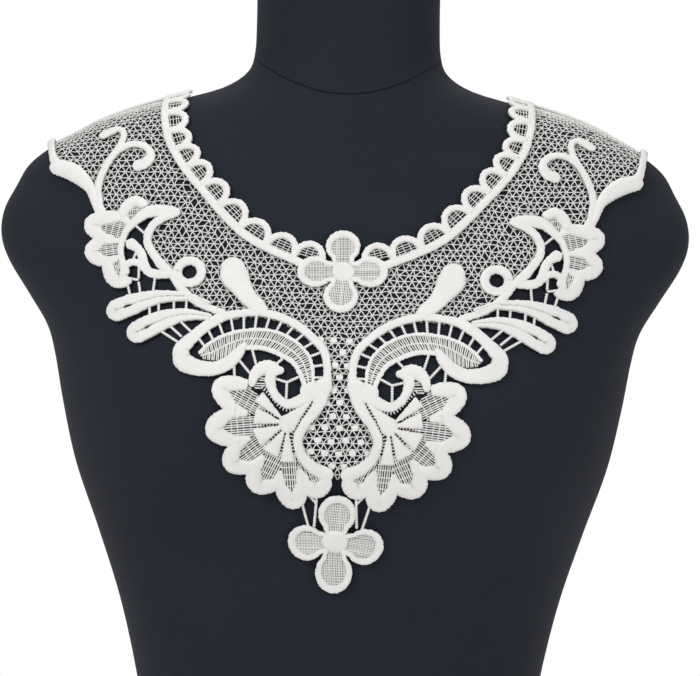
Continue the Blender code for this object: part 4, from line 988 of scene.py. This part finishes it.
def form_material():
    """The form's dark knit cover: fine level ribs, a dusty sheen, and the seam below its neck, sunk as a
    groove and darkened with painted shade.
    """
    made, tree, shader, place = new_material("form_knit", KNIT_LOOK)
    split = node(tree, "ShaderNodeSeparateXYZ", [("Vector", place)]).outputs
    grain = noise(tree, place, GRAIN)
    rib = maths(tree, "SINE", maths(tree, "MULTIPLY", split["Z"], math.tau / (RIB_PITCH * MM)))
    mottle = maths(tree, "MULTIPLY", noise(tree, place, MOTTLE), 0.5)
    tone = maths(tree, "MULTIPLY_ADD", grain, 0.5, mottle)
    squared = maths(tree, "MULTIPLY", split["X"], split["X"])
    curve = maths(tree, "MULTIPLY", squared, SEAM_RISE / SEAM_X ** 2 / MM)
    above = maths(tree, "SUBTRACT", split["Z"], maths(tree, "ADD", curve, SEAM_Z * MM))
    away = maths(tree, "DIVIDE", maths(tree, "ABSOLUTE", above), SEAM_HALF * MM)
    near = node(tree, "ShaderNodeMath", [(0, 1.0), (1, away)], operation="SUBTRACT", use_clamp=True)
    seam = near.outputs[0]
    cloth = blend(tree, tone, KNIT_DARK, KNIT_LIGHT)
    # Painted shade: the seam's groove is darkened in the colour as well as sunk in the bump
    tree.links.new(blend(tree, seam, cloth, KNIT_SEAM_SHADE), shader.inputs["Base Color"])
    ribbed = maths(tree, "MULTIPLY_ADD", rib, RIB_RISE, grain)
    height = maths(tree, "MULTIPLY_ADD", seam, SEAM_SINK, ribbed)
    bumped(tree, shader, height, KNIT_STRENGTH, KNIT_DEPTH)
    return made


def floor_material():
    made, tree, shader, place = new_material("pale_floor", FLOOR_LOOK)
    colour = blend(tree, noise(tree, place, FLOOR_NOISE), FLOOR_DARK, FLOOR_LIGHT)
    tree.links.new(colour, shader.inputs["Base Color"])
    return made


def creased(x, y, z):
    """How far the cover's creases sink at points on the front of the form."""
    sunk = np.zeros(len(x))
    for row in FORM_CREASES:
        crease = named(CREASE_COLUMNS, row)
        along = (x - crease["x"]) / crease["half_length"]
        across = (z - crease["z"] - crease["rise"] * (x - crease["x"])) / crease["half_width"]
        sunk += crease["depth"] * np.exp(-along ** 2 - across ** 2)
    return np.where(y < 0, sunk, 0)


def dress_form(material):
    """The form's cover, as a fine skin on the solid's own surface, closed at its neck and its base."""
    heights = np.linspace(0, NECK_TOP_Z, FORM_RINGS)
    angles = np.linspace(0, math.tau, FORM_SIDES, endpoint=False)
    points = []
    for z in heights:
        x = SURFACE.size(z, "half_width") * np.cos(angles)
        y = np.where(np.sin(angles) < 0, SURFACE.depth(x, z, True), SURFACE.depth(x, z, False))
        points.append(np.stack([x, y + creased(x, y, z), np.full(len(x), z)], -1))
    points = (np.array(points).reshape(-1, 3) + SURFACE.shift) * MM
    index = np.arange(len(points)).reshape(FORM_RINGS, FORM_SIDES)
    ahead = np.roll(index, -1, axis=1)
    quads = np.stack([index[:-1], ahead[:-1], ahead[1:], index[1:]], -1).reshape(-1, 4)
    faces = quads.tolist() + [index[0, ::-1].tolist(), index[-1].tolist()]
    made = mesh_object("form_cover", points, faces, material)
    made.data.set_sharp_from_angle(angle=SHARP_TURN)
    return made


def keep(piece, slot, *nodes):
    """Ties a piece to the part's body and to the solids that it stands for. Its material slot is not used."""
    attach(piece, "root")
    if nodes:
        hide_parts(*nodes)
    return piece


def area_light(name, place, size, power):
    light = bpy.data.lights.new(name, "AREA")
    light.shape, light.size, light.energy = "DISK", size, power
    made = bpy.data.objects.new(name, light)
    made.location = place
    made.rotation_mode = "QUATERNION"
    made.rotation_quaternion = (Vector(LIGHTS_AIM) - Vector(place)).to_track_quat("-Z", "Y")
    bpy.context.scene.collection.objects.link(made)


def studio():
    """A pale floor, soft lights, a white surround and the camera at the photo's angle."""
    bpy.ops.mesh.primitive_circle_add(vertices=FLOOR_CORNERS, radius=FLOOR_RADIUS, fill_type="NGON",
                                      location=(0, 0, -FLOOR_DROP))
    floor = bpy.context.object
    floor.name = "studio_floor"
    floor.data.materials.append(floor_material())
    world = bpy.data.worlds.new("white_surround")
    world.use_nodes = True
    seen = node(world.node_tree, "ShaderNodeLightPath").outputs["Is Camera Ray"]
    strength = maths(world.node_tree, "MULTIPLY_ADD", seen, 1.0 - SURROUND_LIGHT, SURROUND_LIGHT)
    background = world.node_tree.nodes["Background"]
    background.inputs["Color"].default_value = (1.0, 1.0, 1.0, 1.0)
    world.node_tree.links.new(strength, background.inputs["Strength"])
    bpy.context.scene.world = world
    for row in LIGHTS:
        area_light(**named(LIGHT_COLUMNS, row))
    camera_y = SURFACE.shift[1] - CAMERA_DISTANCE
    camera_z = LOOK_Z + CAMERA_DISTANCE * math.tan(CAMERA_TILT)
    place = Vector((LOOK_X, camera_y, camera_z)) * MM
    look = Vector((LOOK_X, SURFACE.shift[1], LOOK_Z)) * MM
    ahead = (look - place).normalized()
    right = ahead.cross(Vector((-math.sin(CAMERA_ROLL), 0, math.cos(CAMERA_ROLL)))).normalized()
    up = right.cross(ahead)
    camera = bpy.data.cameras.new("photo_camera")
    camera.sensor_width = SENSOR
    camera.lens = SENSOR * (look - place).length / MM / (PICTURE_WIDTH * MM_PER_PIXEL)
    made = bpy.data.objects.new("photo_camera", camera)
    made.matrix_world = Matrix.Translation(place) @ Matrix((right, up, -ahead)).transposed().to_4x4()
    bpy.context.scene.collection.objects.link(made)
    bpy.context.scene.camera = made
    bpy.context.scene.view_settings.view_transform = "Standard"


white = thread_material("lace_thread_satin", SATIN, SATIN_GROOVE_SHADE_AND_BLOTCH, SATIN_PITCH, SATIN_DEPTH)
fine = thread_material("lace_net_thread", NET_THREAD, NET_GROOVE_SHADE_AND_BLOTCH, TWIST_PITCH, TWIST_DEPTH)
keep(dress_form(form_material()), "form_cloth", "form_torso")
motifs = (("neck_edging", neck_edging), ("shell", shell), ("loop", loop_with_tail), ("drop", drop),
          ("arch", arch), ("sprig", sprig), ("feathers", feathers), ("fan", fan))
top = flower(TOP_V, TOP_PETALS, TOP_EYE).piece("flower_top_stitched", white)
pendant = flower(PENDANT_V, PENDANT_PETALS, PENDANT_EYE).piece("flower_pendant_stitched", white)
stitched = [keep(top, "lace_thread", "flower_top"), keep(pendant, "lace_thread", "flower_pendant")]
for motif, make in motifs:
    made = make()
    for side, side_name in ((-1, "left"), (1, "right")):
        piece = made.piece(f"{motif}_{side_name}_stitched", white, side)
        stitched.append(keep(piece, "lace_thread", f"{motif}_{side_name}"))
net_thread, net_size, net_area = net()
net_piece = keep(net_thread.piece("net_threads", fine), "lace_net", "net_ground")
studio()
